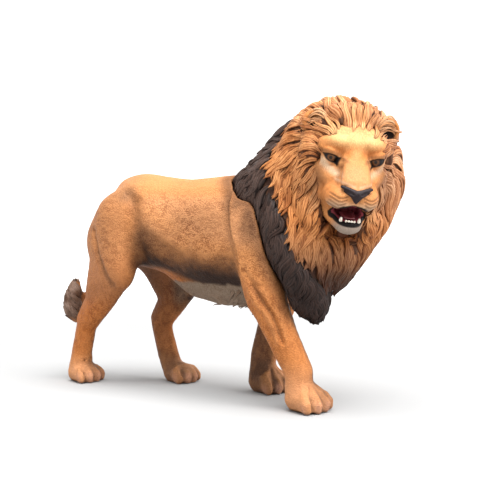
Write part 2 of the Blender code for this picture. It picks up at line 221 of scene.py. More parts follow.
def hollows(piece, rounds):
    """How many millimetres each point lies under the smoothed surface; below 0 on a ridge."""
    return ((relaxed(piece, 0.5, rounds) - points_of(piece)) * normals_of(piece)).sum(1)


def swell(piece, by):
    put_points(piece, points_of(piece) + normals_of(piece) * np.reshape(by, (-1, 1)))


def gathered(name, nodes, grown):
    """Copies of the solid model's nodes in one new object, each swollen by that many millimetres."""
    whole = bmesh.new()
    for node in nodes:
        one = bmesh.new()
        one.from_mesh(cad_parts[node].data)
        bmesh.ops.remove_doubles(one, verts=one.verts, dist=MM / 1000)
        one.normal_update()
        for vert in one.verts:
            vert.co += vert.normal * grown * MM
        swollen = bpy.data.meshes.new("swollen")
        one.to_mesh(swollen)
        whole.from_mesh(swollen)
        one.free()
    data = bpy.data.meshes.new(name)
    whole.to_mesh(data)
    whole.free()
    return shown(name, data)


def carve(piece, path, width, height, sides=(1,), place=None, flat=False):
    """Draws a tool along a path: it raises clay, or digs a groove where height is below 0.
    With flat, the path is drawn straight onto the front, whatever its depth."""
    points, normals = points_of(piece), normals_of(piece)
    own = points if place is None else own_axes(points, place)
    move = np.zeros(len(points))
    squash = (1, 0, 1) if flat else (1, 1, 1)
    reach = np.array((3 * width, 3.0 if flat else 3 * width, 3 * width))
    for side in sides:
        line = np.array(path, float) * (side, 1, 1)
        close = ((own > line.min(0) - reach) & (own < line.max(0) + reach)).all(1)
        move[close] += height * np.exp(-((distance_to(own[close] * squash, line * squash) / width) ** 2))
    put_points(piece, points + normals * move[:, None])


def placed(points, place):
    """Points given in a part's own axes, as points of the figure."""
    turn = np.array(place.to_3x3())
    return np.asarray(points) @ turn.T + np.array(place.translation)


def own_axes(points, place):
    return (points - np.array(place.translation)) @ np.array(place.to_3x3())


# %% [markdown]
# ## The body's skin
# The solid model is faceted and parted by thin cuts. Swollen copies of its pieces overlap, so the
# remesh closes every cut and no seam is left. The belly and back are relaxed most and the toes
# hardly at all, because the same number of rounds would melt a toe away.

# %% The body as one smooth skin
LEGS = ["_".join(words) for words in itertools.product(("fore", "hind"), ("leg", "paw"), ("left", "right"))]
PAWS = [node for node in LEGS if "paw" in node]
FLESH = ["trunk", "tail", "tail_tuft", *LEGS]
OVERLAP = 0.24
BODY_NET, HEAD_NET = 0.455, 0.24  # millimetres between the points of the finished skin

body = gathered("body_skin", FLESH, OVERLAP)
remesh(body, BODY_NET)
swell(body, -OVERLAP)
_, y, z = points_of(body).T
firm = 0.05 + 0.12 * step(5, 10, z) + 0.4 * step(24, 40, z) * (1 - step(44, 50, y))
relax(body, firm, 42)
print("body skin:", len(body.data.polygons), "faces")

# %% [markdown]
# ## Muscles, folds and toes
# These are strokes of the tool over the smooth body: the fold in front of the thigh, the ribs, the
# shoulder blade and elbow, the tendons of the legs and the grooves between the toes. A wide low
# stroke reads as muscle under the coat and a narrow deep one as a crease.

# %% Strokes on the body
BOTH = (-1, 1)  # the right side, then the left
SIDE_NAMES = {1: "left", -1: "right"}
# Millimetres back from the right side's strokes: the left legs are at another point of the stride.
HIND_SHIFT, FORE_SHIFT = {-1: 0.0, 1: -7.5}, {-1: 0.0, 1: 6.5}
# Width, height and path of each stroke on the thigh and flank, x counted outwards.
FLANK_FOLDS = (
    (1.7, -0.8, [(9.9, 28.3, 61), (10.8, 25.5, 59)]),
    (2.6, -0.95, [(11.2, 24, 58), (12, 23.1, 52.8), (11.6, 22.6, 48), (8.8, 23.5, 41)]),
    (4.0, 0.6, [(12, 17.5, 55), (11.8, 14, 50.5)]),
    (2.2, -0.5, [(11.5, 18.5, 48.5), (11, 12, 44.5), (11, 6, 42.5)]),
    (4.0, 0.45, [(12, 31, 56), (13.5, 29, 48), (12.5, 28, 40)]),
    (1.1, -0.85, [(12, 40.5, 49), (13.6, 37.8, 42.2), (14.7, 34.1, 36.5), (14.3, 31.2, 32.5)]),
    (1.6, -0.55, [(12, 35, 34), (11.5, 41, 27)]),
    (2.0, -0.35, [(9, 37, 59), (10, 42, 50)]),
)
SHOULDER_SEAM = [(7, -11.4, 65.5), (10.9, -12.8, 59.7), (12.8, -13.8, 55.7), (14.3, -15.9, 49.4),
                 (14.7, -18.3, 43.5), (14.2, -18.8, 36.9)]
# How far over, width and height of each tendon of the foreleg.
TENDONS = ((-2.2, 0.9, 0.5), (0, 0.8, -0.9), (2.2, 1.0, 0.45), (4.2, 0.8, -0.5), (6.4, 1.1, 0.35))


def on_side(path, side, back=0.0):
    """A path with x counted outwards, put on its side and moved back."""
    return np.array(path, float) * (side, 1, 1) + (0, back, 0)


def fold(path, width, height, sides=(1,)):
    carve(body, curve(path, 14), width, height, sides)


for side, back in HIND_SHIFT.items():
    for width, height, path in FLANK_FOLDS:
        fold(on_side(path, side, back), width, height)
# Ribs slant down and back behind the shoulder.
for rib in range(5):
    y = -14 + rib * 6.6
    fold([(-13, y, 60), (-15, y + 4, 50), (-13, y + 8, 41)], 1.9, 0.34, (1, -1))
# Shoulder blade, the crease behind it and the point of the elbow.
for side, back in FORE_SHIFT.items():
    seam = on_side(SHOULDER_SEAM, side, back)
    fold(seam, 0.6, -0.5)
    fold(seam - (0, 1.2, 0), 0.8, 0.3)
    fold(seam + (0, 2.6, 0), 2.4, -0.35)
    fold(on_side([(15.6, -21.5, 39), (15.8, -25, 36), (15.8, -28, 35)], side, back), 0.8, -0.45)
    for over, width, height in TENDONS:
        fold([(side * 16, -25.0 + back - over * 0.8, 35.0 + over * 0.35),
              (side * 15.6, -28.5 + back - over * 0.8, 30.4 + over * 0.35),
              (side * 14.6, -31.5 + back - over * 0.7, 26.0),
              (side * 13.8, -34 + back * 0.6 - over * 0.5, 19.5)], width, height)
# Edge of the flank above the belly, where the coat hangs a little over.
for side in BOTH:
    fold(on_side([(10.5, 17, 36.5), (10.8, 8, 34.4), (11, -2, 33.6), (11, -13, 34)], side), 1.1, 0.55)
    fold(on_side([(8, 15, 33.8), (8.2, 6, 31.6), (8.2, -4, 30.8), (8.4, -13, 31)], side), 1.2, -0.7)


# Degrees to each side of straight ahead.
GROOVES, TOES, TOE_HAIRS = (-42, -3, 36), (-62, -22, 17, 55), (-70, -55, -30, -14, 10, 24, 46, 62)
TOE_LINE = ((0.45, 7.4), (0.8, 5.6), (0.98, 3.0), (0.96, 0.2))  # share of the way out, and height


def toe_rays(node, angles):
    """Lines that fan out over the paw, each from its top down the front to the ground."""
    low, high = (np.array(corner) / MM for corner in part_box(node))
    middle, wide = (low + high) / 2, (high - low) / 2
    for angle in angles:
        out = np.array((math.sin(math.radians(angle)) * wide[0], -math.cos(math.radians(angle)) * wide[1]))
        yield [(*(middle[:2] + out * reach), height) for reach, height in TOE_LINE]


def toes(node):
    """Grooves between the toes, a knuckle on each toe and fine lines of hair in front."""
    for ray in toe_rays(node, GROOVES):
        fold(ray, 0.55, -0.9)
    for ray in toe_rays(node, TOES):
        fold(ray[:3], 1.3, 0.4)
    for ray in toe_rays(node, TOE_HAIRS):
        fold(ray[1:], 0.35, -0.22)


for node in PAWS:
    toes(node)

# %% [markdown]
# ## The stamped coat
# The mould is stamped all over with short hairs about a millimetre long. The larger ones are real
# relief in the mesh, stretched along the way the hair lies. Finer ones come later, as bump.

# %% Hair relief on the body
place = points_of(body)
legs = 1 - step(30, 40, place[:, 2])
on_trunk, on_legs = grain(place * (1.0, 0.5, 1.0), 0.75, 3), grain(place * (1.0, 1.0, 0.5), 0.72, 4)
body_hair = on_trunk * (1 - legs) + on_legs * legs
depth = 0.07 * step(1.5, 6, place[:, 2]) * (1 - 0.6 * step(58, 66, place[:, 2]))
swell(body, depth * body_hair)

# %% [markdown]
# ## The head's place
# The head has axes of its own: x to the lion's left, y to the back and z up. The eyeballs of the
# solid model are true spheres, so the middle of their boxes fixes where those axes start.

# %% Axes of the head
HEAD_TURN, HEAD_PITCH, HEAD_ROLL = -46.0, 8.0, 6.0
EYE = Vector((6.1, -7.6, 2.0))
EYE_RADIUS = 2.5

turn = (Matrix.Rotation(math.radians(HEAD_TURN), 4, "Z")
        @ Matrix.Rotation(math.radians(HEAD_PITCH), 4, "X")
        @ Matrix.Rotation(math.radians(HEAD_ROLL), 4, "Y"))
eye_middle = sum((sum(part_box(f"eye_{side}"), Vector()) / 2 for side in ("left", "right")), Vector()) / 2 / MM
HEAD = Matrix.Translation(eye_middle - turn.to_3x3() @ Vector((0, EYE.y, EYE.z))) @ turn
print("head starts at", [round(c, 2) for c in HEAD.translation])


# %% [markdown]
# ## The head in clay
# The face is what people look at, so it gets clay of its own at a finer net than the body. The
# lumps are skull, brow, cheeks, the broad bridge of the nose, two whisker pads and the jaw. The
# mouth is cut out of the finished heap, because a remesh would close a mouth built as a gap.

# %% Balls and lumps
def ball(centre, radii, rings=14, sides=26):
    radii = np.broadcast_to(np.array(radii, float), 3)
    turns = np.linspace(0, 2 * math.pi, sides, endpoint=False)
    rise, way = np.meshgrid(np.linspace(0, math.pi, rings), turns)
    sphere = np.stack([np.sin(rise) * np.cos(way), np.sin(rise) * np.sin(way), np.cos(rise)], -1)
    return sphere.reshape(-1, 3) * radii + centre


class Clay:
    """Lumps, each the convex hull of one ball or several, in the axes of a part."""

    def __init__(self, place):
        self.mesh, self.place = bmesh.new(), place

    def lump(self, *balls):
        points = placed(np.vstack(balls), self.place) * MM
        verts = [self.mesh.verts.new(point) for point in points]
        made = bmesh.ops.convex_hull(self.mesh, input=verts, use_existing_faces=False)
        loose = {v for v in made["geom_interior"] + made["geom_unused"] if isinstance(v, bmesh.types.BMVert)}
        bmesh.ops.delete(self.mesh, geom=list(loose), context="VERTS")

    def pair(self, *balls):
        self.lump(*balls)
        self.lump(*[one * (-1, 1, 1) for one in balls])

    def piece(self, name):
        bmesh.ops.recalc_face_normals(self.mesh, faces=self.mesh.faces)
        data = bpy.data.meshes.new(name)
        self.mesh.to_mesh(data)
        self.mesh.free()
        return shown(name, data)


def cut(piece, cutter):
    boolean = piece.modifiers.new("cut", "BOOLEAN")
    boolean.operation, boolean.object = "DIFFERENCE", cutter
    settle(piece)


# %% Skull, cheeks, muzzle and jaw
clay = Clay(HEAD)
clay.lump(ball((0, 2, 2.4), 10.4))
clay.lump(ball((0, -4.6, 7.2), (8.2, 5.0, 4.4)), ball((0, -9.0, 4.8), (3.4, 1.9, 3.0)))
clay.pair(ball((3.9, -8.5, 6.2), (3.2, 2.3, 2.0)), ball((7.8, -5.4, 5.2), (2.4, 2.8, 2.4)))
clay.pair(ball(EYE, EYE_RADIUS + 0.45))
clay.pair(ball((7.0, -4.2, -2.2), (3.4, 5.2, 3.8)), ball((4.6, -8.6, -4.4), (3.0, 3.4, 3.4)))
clay.pair(ball((6.6, -2.4, -7.2), (4.2, 5.8, 5.4)))
clay.lump(ball((0, -8.0, -2.4), (5.4, 3.6, 5.0)), ball((0, -13.6, -6.2), (4.8, 3.8, 3.4)))
clay.lump(ball((0, -9.4, 3.2), (3.2, 2.0, 2.6)), ball((0, -15.9, -4.0), (4.2, 2.0, 1.9)))
clay.pair(ball((3.2, -14.6, -8.2), (3.7, 3.7, 3.1)), ball((5.0, -10.0, -7.6), (2.9, 3.6, 3.4)))
clay.lump(ball((0, -16.4, -6.0), (3.2, 2.2, 2.4)))
clay.lump(ball((0, -4.0, -12.4), (7.0, 5.4, 4.2)), ball((0, -12.3, -15.8), (3.7, 2.9, 2.4)))
head = clay.piece("head_skin")
remesh(head, 0.32)

clay = Clay(HEAD)
clay.lump(
    ball((0, -19.0, -11.6), (3.9, 1.0, 1.4)),
    ball((0, -17.0, -13.6), (3.5, 1.0, 0.8)),
    ball((0, -6.5, -11.9), (3.6, 2.0, 1.7)),
)
clay.pair(ball((3.4, -16.0, -12.1), (1.1, 2.2, 0.8)), ball((4.3, -10.6, -12.2), (0.7, 1.2, 0.6)))
mouth = clay.piece("mouth_cutter")
remesh(mouth, 0.35)
cut(head, mouth)
remesh(head, 0.27)
relax(head, 0.5, 9)


# %% [markdown]
# ## Eyelids
# An eyelid is a shell that wraps the eyeball, with an almond-shaped opening. So near each eye the
# clay is moved along lines from the eyeball's centre: out to a lid's thickness around the almond,
# and inside the ball within it, where the eyeball then shows. The inner corner is low and the outer
# one high, which gives the steady look of a cat.

# %% Open the eyes
LID = 0.22
# The opening seen from in front: millimetres outwards and upwards from the eyeball's centre.
ALMOND = ((2.2, 0.75), (0.9, 0.78), (-0.9, 0.38), (-1.75, -0.3), (-2.15, -1.6), (-1.2, -1.45), (0.2, -1.1),
          (1.5, -0.4), (2.2, 0.75))
OPENING = curve([(*corner, 0) for corner in ALMOND], 60)


def inside_of(flat, outline):
    """True where a straight line to the right crosses the closed outline an odd number of times."""
    odd = np.zeros(len(flat), bool)
    for (ax, ay, _), (bx, by, _) in zip(outline, outline[1:]):
        if ay != by:
            crosses = (flat[:, 1] > ay) != (flat[:, 1] > by)
            odd ^= crosses & (flat[:, 0] < ax + (bx - ax) * (flat[:, 1] - ay) / (by - ay))
    return odd


def opening(points, side):
    """(distance outside the opening, distance from the eyeball's centre)."""
    away = (own_axes(points, HEAD) - (side * EYE.x, EYE.y, EYE.z)) * (side, 1, 1)
    flat = unit(away) * EYE_RADIUS * (1, 0, 1)
    flat = flat[:, [0, 2, 1]]
    reach = np.linalg.norm(away, axis=1)
    edge = np.full(len(points), 9.0)
    close = (away[:, 1] < 0) & (reach < 6)
    gap = distance_to(flat[close], OPENING)
    edge[close] = np.where(inside_of(flat[close], OPENING), -gap, gap)
    return edge, reach


def open_eye(side):
    points = points_of(head)
    centre = placed([(side * EYE.x, EYE.y, EYE.z)], HEAD)[0]
    edge, reach = opening(points, side)
    lid = EYE_RADIUS + LID
    wanted = np.maximum(lid, lid + (reach - EYE_RADIUS - LID) * step(0.1, 1.5, edge))
    wanted = wanted + (EYE_RADIUS - 0.6 - wanted) * (1 - step(-0.25, 0.05, edge))
    close = edge < 1.5
    points[close] = centre + unit(points - centre)[close] * wanted[close, None]
    put_points(head, points)


for side in BOTH:
    open_eye(side)
remesh(head, HEAD_NET)
relax(head, 0.35, 2)
print("head skin:", len(head.data.polygons), "faces")

# %% [markdown]
# ## Strokes on the face
# Brow ridges that come down to the nose, the flat bridge with its soft edges, the hollow under each
# eye, the edge of the cheek, the groove from nose to lip and the rows that the whiskers grow from.

# %% Carve the face
def feature(path, width, height, sides=BOTH, flat=False):
    carve(head, curve(path, 14), width, height, sides, HEAD, flat)


feature([(3.4, -11.2, 2.2), (4.6, -11.0, 3.1), (6.6, -10.2, 3.9), (9.0, -7.8, 4.2)], 0.7, 0.6)
feature([(2.2, -11.8, 2.6), (2.6, -11.4, 4.4)], 1.8, -0.35)
feature([(4.6, -11.0, 5.4), (7.2, -9.4, 6.4)], 2.0, 0.2)
feature([(0, -10.5, 9.5), (0, -11.8, 6.5), (0, -12.0, 4.4)], 0.9, -0.25, (1,))
feature([(3.2, -11.4, 1.6), (3.9, -12.4, -1.0), (4.3, -14.0, -3.6)], 0.75, -0.4)
feature([(2.6, -12.6, 1.5), (3.2, -14.2, -1.5), (3.7, -15.8, -3.8)], 1.0, 0.3)
feature([(3.4, -10.8, -0.6), (5.6, -10.6, -1.8), (8.2, -8.6, -0.8)], 0.85, -0.3)
feature([(4.8, -11.6, -3.6), (7.0, -9.6, -5.0), (8.4, -7.0, -7.0)], 1.3, -0.35)
feature([(4.6, -13.6, -5.0), (6.8, -12.0, -7.0), (7.0, -10.0, -10.5)], 0.8, -0.55)
feature([(0, -18.4, -8.4), (0, -18.2, -10.2)], 0.42, -0.75, (1,))
for row in range(4):
    drop = row * 0.95
    whiskers = [(2.2 + row * 0.25, -17.9, -7.3 - drop), (4.3, -16.9, -7.9 - drop), (6.5, -14.6, -7.0 - drop)]
    feature(whiskers, 0.3, -0.32, flat=True)
feature([(1.0, -18.2, -10.8), (3.4, -17.4, -11.4), (5.8, -14.0, -11.2)], 0.7, 0.3)
feature([(0.0, -15.6, -14.9), (2.6, -14.8, -14.6), (4.2, -12.4, -13.9)], 0.6, 0.3)

place = own_axes(points_of(head), HEAD)
face_hair = grain(place * (1.0, 1.0, 0.55), 0.62, 8)
swell(head, 0.05 * face_hair)

# %% [markdown]
# ## Nose, tongue, teeth and eyeballs
# These keep an edge against the skin on the real toy, because another paint starts there. So each is
# a piece of its own. The nose is clay with a comma-shaped nostril on each side.

# %% Nose leather
clay = Clay(HEAD)
clay.pair(ball((0.5, -18.2, -6.0), (1.0, 1.2, 0.8)), ball((3.9, -17.1, -4.8), (0.6, 0.9, 0.45)))
clay.lump(ball((0, -18.5, -6.4), (2.2, 1.1, 0.9)), ball((0, -18.1, -8.1), (0.6, 0.8, 0.9)))
clay.pair(ball((0.8, -18.3, -6.7), (1.1, 1.1, 0.8)), ball((2.9, -17.5, -5.8), (0.7, 0.8, 0.6)))
nose = clay.piece("nose_leather")
remesh(nose, 0.16)
relax(nose, 0.5, 6)
nostril = curve([(1.3, -19.6, -6.4), (2.5, -19.0, -6.0), (3.4, -18.2, -6.3)], 10)
for side in BOTH:
    carve(nose, nostril, 0.4, -0.55, (side,), HEAD)
carve(nose, curve([(0, -19.8, -6.0), (0, -19.4, -8.4)], 8), 0.25, -0.25, (1,), HEAD)

# %% Tongue and teeth
clay = Clay(HEAD)
clay.lump(ball((0, -12.8, -13.5), (1.7, 1.3, 0.5)), ball((0, -8.2, -12.9), (2.3, 1.6, 0.8)))
tongue = clay.piece("tongue_form")
remesh(tongue, 0.2)
relax(tongue, 0.5, 4)
carve(tongue, curve([(0, -14.0, -12.9), (0, -9.0, -12.1)], 8), 0.5, -0.25, (1,), HEAD)

clay = Clay(HEAD)
clay.pair(ball((2.5, -13.9, -14.2), (0.52, 0.5, 0.5)), ball((2.5, -14.2, -13.5), (0.34, 0.3, 0.3)))
for tooth in range(4):
    x = (tooth - 1.5) * 0.78
    clay.lump(ball((x, -14.5, -14.3), (0.36, 0.3, 0.34)), ball((x, -14.6, -14.0), (0.26, 0.2, 0.18)))
teeth = clay.piece("teeth")
remesh(teeth, 0.13)
relax(teeth, 0.5, 3)


# %% Eyeballs
def eyeball(side):
    clay = Clay(HEAD)
    clay.lump(ball((side * EYE.x, EYE.y, EYE.z), EYE_RADIUS, rings=40, sides=64))
    made = clay.piece(f"eyeball_{SIDE_NAMES[side]}")
    gaze = unit(np.array([side * 0.06 - 0.18, -1.0, -0.03]))
    away = unit(own_axes(points_of(made), HEAD) - (side * EYE.x, EYE.y, EYE.z))
    note(made, "Gaze", np.arccos(np.clip(away @ gaze, -1, 1)) * EYE_RADIUS)
    return made


eyeballs = {side: eyeball(side) for side in BOTH}


# %% [markdown]
# ## Ears
# A lion's ear is a round cup. Most of it is hidden in the mane, and pale hair grows across its
# opening from the inner edge. The cup is a copy of the solid model's ear, remeshed, softened and
# moved a little forward and down, where its opening shows between the locks.

# %% Ear cups
EAR_MOVES = {1: (0.0, -0.5, -0.3), -1: (-0.3, -0.7, -0.9)}  # in the head's axes

ears, ear_middles = {}, []
for side, name in SIDE_NAMES.items():
    cup = gathered(f"ear_cup_{name}", [f"ear_{name}"], 0.0)
    remesh(cup, 0.25)
    relax(cup, 0.5, 8)
    own = own_axes(points_of(cup), HEAD) + EAR_MOVES[side]
    put_points(cup, placed(own, HEAD))
    ears[side] = cup
    ear_middles.append((own.min(0) + own.max(0)) / 2)
    print("ear:", own.min(0).round(1), own.max(0).round(1))


def ear_gap(own):
    """Millimetres from the middle of the nearer ear."""
    return np.min([np.linalg.norm(own - middle - (0, -1.0, 0), axis=1) for middle in ear_middles], 0)


# %% [markdown]
# ## What the mane lies on
# The locks need a body under them that shows as dark depth between them. It is the solid model's
# mane drawn in by a lock's thickness. The locks will be laid on it together with the head and body,
# so all three are also joined into one closed guide that is only used to find the surface.

# %% Mane core and guide
CORE_SWELL, SINK = 0.45, 1.15  # how much it is swollen for the remesh, and how deep it lies in the end
FACE_SINK = 3.5  # how much deeper it lies behind the face
FACE_HALF = (9.0, 12.9, 15.6)  # half the width, height above and height below the face's middle
FACE_MIDDLE = -2.4


def from_face(own):
    """0 in the middle of the face, 1 on the hairline, more in the mane; big behind the head."""
    x, y, z = own.T
    above = z > FACE_MIDDLE
    tall, power = np.where(above, FACE_HALF[1], FACE_HALF[2]), np.where(above, 3.0, 2.0)
    across, up = np.abs((x + 0.4) / FACE_HALF[0]), np.abs((z - FACE_MIDDLE) / tall)
    return (across**power + up**power) ** (1 / power) + step(-3, 3, y)


core = gathered("mane_core", ["mane_ruff", "mane_cape"], CORE_SWELL)
remesh(core, 0.6)
relax(core, 0.5, 14)
swell(core, -CORE_SWELL - SINK)
relax(core, 0.5, 4)

own = own_axes(points_of(core), HEAD)
swell(core, -FACE_SINK * (1 - step(1.15, 1.65, from_face(own))))
relax(core, 0.5, 3)

heap = bmesh.new()
for piece in (core, head, body, *ears.values()):
    heap.from_mesh(piece.data)
data = bpy.data.meshes.new("guide")
heap.to_mesh(data)
heap.free()
guide = shown("guide", data)
remesh(guide, 0.7)
relax(guide, 0.5, 6)
surface = BVHTree.FromObject(guide, bpy.context.evaluated_depsgraph_get())
guide_points = points_of(guide)


def solid_tree(node):
    return BVHTree.FromObject(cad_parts[node], bpy.context.evaluated_depsgraph_get())


ruff_solid, cape_solid = solid_tree("mane_ruff"), solid_tree("mane_cape")
bpy.data.objects.remove(guide)
print("mane core:", len(core.data.polygons), "faces")


def nearest(tree, points):
    """(place, normal, distance) of the surface nearest to each point."""
    place, normal, _, distance = zip(*(tree.find_nearest(Vector(point * MM)) for point in points))
    return np.array(place) / MM, np.array(normal), np.array(distance) / MM


def outside(tree, points):
    """How many millimetres each point is outside the solid; below 0 within it."""
    place, normal, _ = nearest(tree, points)
    return ((points - place) * normal).sum(1)


# Heights, and how far forward the ruff's rear edge lies there, measured along FORWARD.
RUFF_EDGE = ((32, 36.4, 40.5, 46.4, 52.9, 58.2, 62.9, 70, 77.7, 82.4, 86),
             (32, 28.4, 24.9, 20.8, 19, 16.7, 15.8, 15.6, 16.7, 19.6, 22))
FORWARD = (0.602, -0.799, 0.0)


def cape_out(points):
    """How many millimetres each point is outside the cape."""
    return outside(cape_solid, points)


def anywhere(points):
    """A measure that no place is outside of."""
    return np.zeros(len(points))


def ruff_out(points):
    """How many millimetres each point is outside the ruff, or behind its rear edge."""
    return np.maximum(outside(ruff_solid, points), np.interp(points[:, 2], *RUFF_EDGE) - points @ FORWARD)


# %% [markdown]
# ## How a lock is made
# A lock could be a bent cone or a strip. These are carved ones: a flat teardrop with two or three
# ridges along it, thin at the root, thickest a third of the way down, and pointed. Its path walks
# over the guide: at each step it looks which way hair wants to lie there, follows the surface, and
# swings from side to side in a slow wave. Where the surface turns away, it hangs free.

# %% Comb paths over the guide
def combed(starts, lengths, heading, swing, phase, wave=9.0, steps=14):
    """(places, normals) of each path, as arrays of locks x steps x 3."""
    here, pace = starts.copy(), (lengths / (steps - 1))[:, None]
    places, ups = np.empty((2, len(starts), steps, 3))
    for at in range(steps):
        found, up, _ = nearest(surface, here)
        way = unit(heading(here, at / (steps - 1)))
        flat = way - up * (way * up).sum(1, keepdims=True)
        leaves = step(0.7, 0.95, (way * up).sum(1, keepdims=True)) * step(-0.5, -0.8, way[:, 2:])
        grip = 1 - 0.8 * leaves
        here = here + grip * (found - here)
        places[:, at], ups[:, at] = here, up
        flat = unit(flat)
        turn = swing * np.sin(2 * math.pi * at / (steps - 1) * lengths / wave + phase)
        flat = flat * np.cos(turn)[:, None] + np.cross(up, flat) * np.sin(turn)[:, None]
        here = here + pace * unit(flat * grip + way * (1 - grip))
    return places, ups


def thinned(points, size, seed):
    """One point from each cell of a grid, so that roots are spread evenly."""
    order = np.random.default_rng(seed).permutation(len(points))
    _, first = np.unique(np.floor(points[order] / size).astype(int), axis=0, return_index=True)
    return order[first]


# %% Build locks along paths
paths_of = {}  # the paths of a piece's locks, and how many points lie round each place of a path


def lock_mesh(name, places, ups, width, height, lift, ridges=3, across=13, under=5):
    """One object of all the locks, with the attributes Crest, Along and Lock for their paint."""
    count, steps = places.shape[:2]
    ahead = unit(np.gradient(places, axis=1))
    side = unit(np.cross(ahead, ups))
    up = np.cross(side, ahead)
    along = np.linspace(0, 1, steps)
    taper = np.minimum(1, 0.35 + 2.2 * along) * (1 - along**2.0) ** 0.85 + 0.03
    rise = np.minimum(1, 0.25 + 2.4 * along) * (1 - along**2.6) ** 0.6 + 0.03
    u = np.linspace(-1, 1, across)
    crest = np.abs(np.sin(math.pi * ridges * (u + 1) / 2)) ** 0.8
    top = np.sqrt(1 - u**2) ** 0.9 * (0.72 + 0.28 * crest)
    back = np.linspace(1, -1, under + 2)[1:-1]
    u = np.concatenate([u, back])
    v = np.concatenate([top, -0.3 * np.sqrt(1 - back**2)])
    crest = np.concatenate([(0.4 + 0.6 * crest) * (1 - np.abs(u[:across]) ** 3), np.zeros(under)])
    ring = len(u)
    sideways = side[:, :, None] * (u * (taper * width[:, None])[:, :, None])[..., None]
    upwards = up[:, :, None] * (v * (rise * height[:, None])[:, :, None] + lift[:, :, None])[..., None]
    points = (places[:, :, None] + sideways + upwards).reshape(-1, 3)
    first = (np.arange(count)[:, None, None] * steps + np.arange(steps - 1)[:, None]) * ring
    turn = np.arange(ring)
    here, beside = first + turn, first + (turn + 1) % ring
    quads = np.stack([here, beside, beside + ring, here + ring], -1)
    ends = [[k, ring - 1 - k, ring - 2 - k, k + 1] for k in range(ring // 2 - 1)]
    caps = np.array(ends)[None] + np.array([0, (steps - 1) * ring])[:, None, None]
    caps[1] = caps[1][:, ::-1]
    caps = caps.reshape(1, -1, 4) + (np.arange(count) * steps * ring)[:, None, None]
    made = mesh_piece(name, points, np.concatenate([quads.reshape(-1, 4), caps.reshape(-1, 4)]))
    own_number = np.random.default_rng(len(points)).random(count)
    spread = {
        "Crest": np.broadcast_to(crest, (count, steps, ring)),
        "Along": np.broadcast_to(along[:, None], (count, steps, ring)),
        "Lock": np.broadcast_to(own_number[:, None, None], (count, steps, ring)),
    }
    for label, values in spread.items():
        note(made, label, values.ravel())
    paths_of[name] = places, ring
    across_patch = np.broadcast_to((u + 1) / 2, (count, steps, ring)).ravel()
    patch_of(made, places[:, 0], across_patch, spread["Along"].ravel())
    return made


# %% [markdown]
# ## A map for each lock
# Each lock's map is a small patch at its root's place on a map of the skin. That map looks at the
# figure from a middle point and lays each direction out flat, as an atlas does with a globe.

# %% Lay out the lock patches
PATCH = 0.003
ATLAS_CENTRE = np.array([0.0, -20.0, 52.0])


def patch_of(piece, roots, across, along):
    away = unit(roots - ATLAS_CENTRE)
    from_front = np.arccos(np.clip(-away[:, 1], -1, 1)) / math.pi
    round_front = np.arctan2(away[:, 2], away[:, 0])
    root = 0.5 + 0.48 * from_front[:, None] * np.stack([np.cos(round_front), np.sin(round_front)], 1)
    each = len(across) // len(roots)
    spots = np.repeat(root, each, 0) + PATCH * (np.stack([across, along], 1) - 0.5)
    loops = np.empty(len(piece.data.loops), np.int32)
    piece.data.loops.foreach_get("vertex_index", loops)
    piece.data.uv_layers.new(name="OFBake").uv.foreach_set("vector", spots[loops].astype(np.float32).ravel())


# %% [markdown]
# ## Which way the mane lies
# On the crown it sweeps up and back. At the sides it goes outwards, then bends down more and more.
# The beard hangs. On the neck it runs back and down over the shoulders. Round the face the roots
# start on the cheek itself, so the short coat passes into the mane with no edge.

# %% Headings and regions
def ruff_heading(points, share):
    x, _, z = own_axes(points, HEAD).T
    round_face = unit(np.stack([x * (1 + 0.5 * step(2, 10, z)), 0 * x, z + 3.0], 1))
    top = round_face[:, 2]
    outer = 0.9 * step(8, 19, np.abs(x)) * step(0.6, 0.0, top)
    sag = np.where(top > 0.75, 0.0, 0.15 + 0.75 * step(0.75, -0.5, top) + outer + 0.35 * share)
    sweep = 0.95 * step(0.2, 0.9, top) + 0.35 * step(-0.6, 0.2, top) + 0.25 * step(14, 20, np.abs(x))
    way = round_face * 0.9 + np.stack([-0.02 * x * step(0.0, -0.8, top), sweep, -sag], 1)
    return way @ np.array(HEAD.to_3x3()).T


def cape_heading(points, share):
    x, y, z = points.T
    high = step(52, 78, z)
    front = step(-34, -42, y) * step(58, 46, z)
    back = 0.35 + 0.85 * high - 0.3 * front
    down = 1.15 - 0.75 * high + 0.25 * share
    inwards = -(x + 5) * 0.02 * front
    return np.stack([inwards, back, -down], 1)


def ruff_share(points):
    """1 on the ruff, 0 on the cape, with a soft border."""
    behind = np.interp(points[:, 2], *RUFF_EDGE) - points @ FORWARD
    nearer = nearest(cape_solid, points)[2] - nearest(ruff_solid, points)[2]
    return step(-0.8, 0.8, nearer) * step(0.8, -0.8, behind)


# %% [markdown]
# ## Laying the mane
# Roots are spread evenly over the guide. Each region has its own length, width and wave, and goes in
# an object of its own, so that no object grows too heavy. The wave's phase comes from the slow grain
# of the place: neighbours then swing together, as carved hair does.

# %% Lay the locks
SHORTEST = 0.4  # a lock that would be cut to less than this share is left out


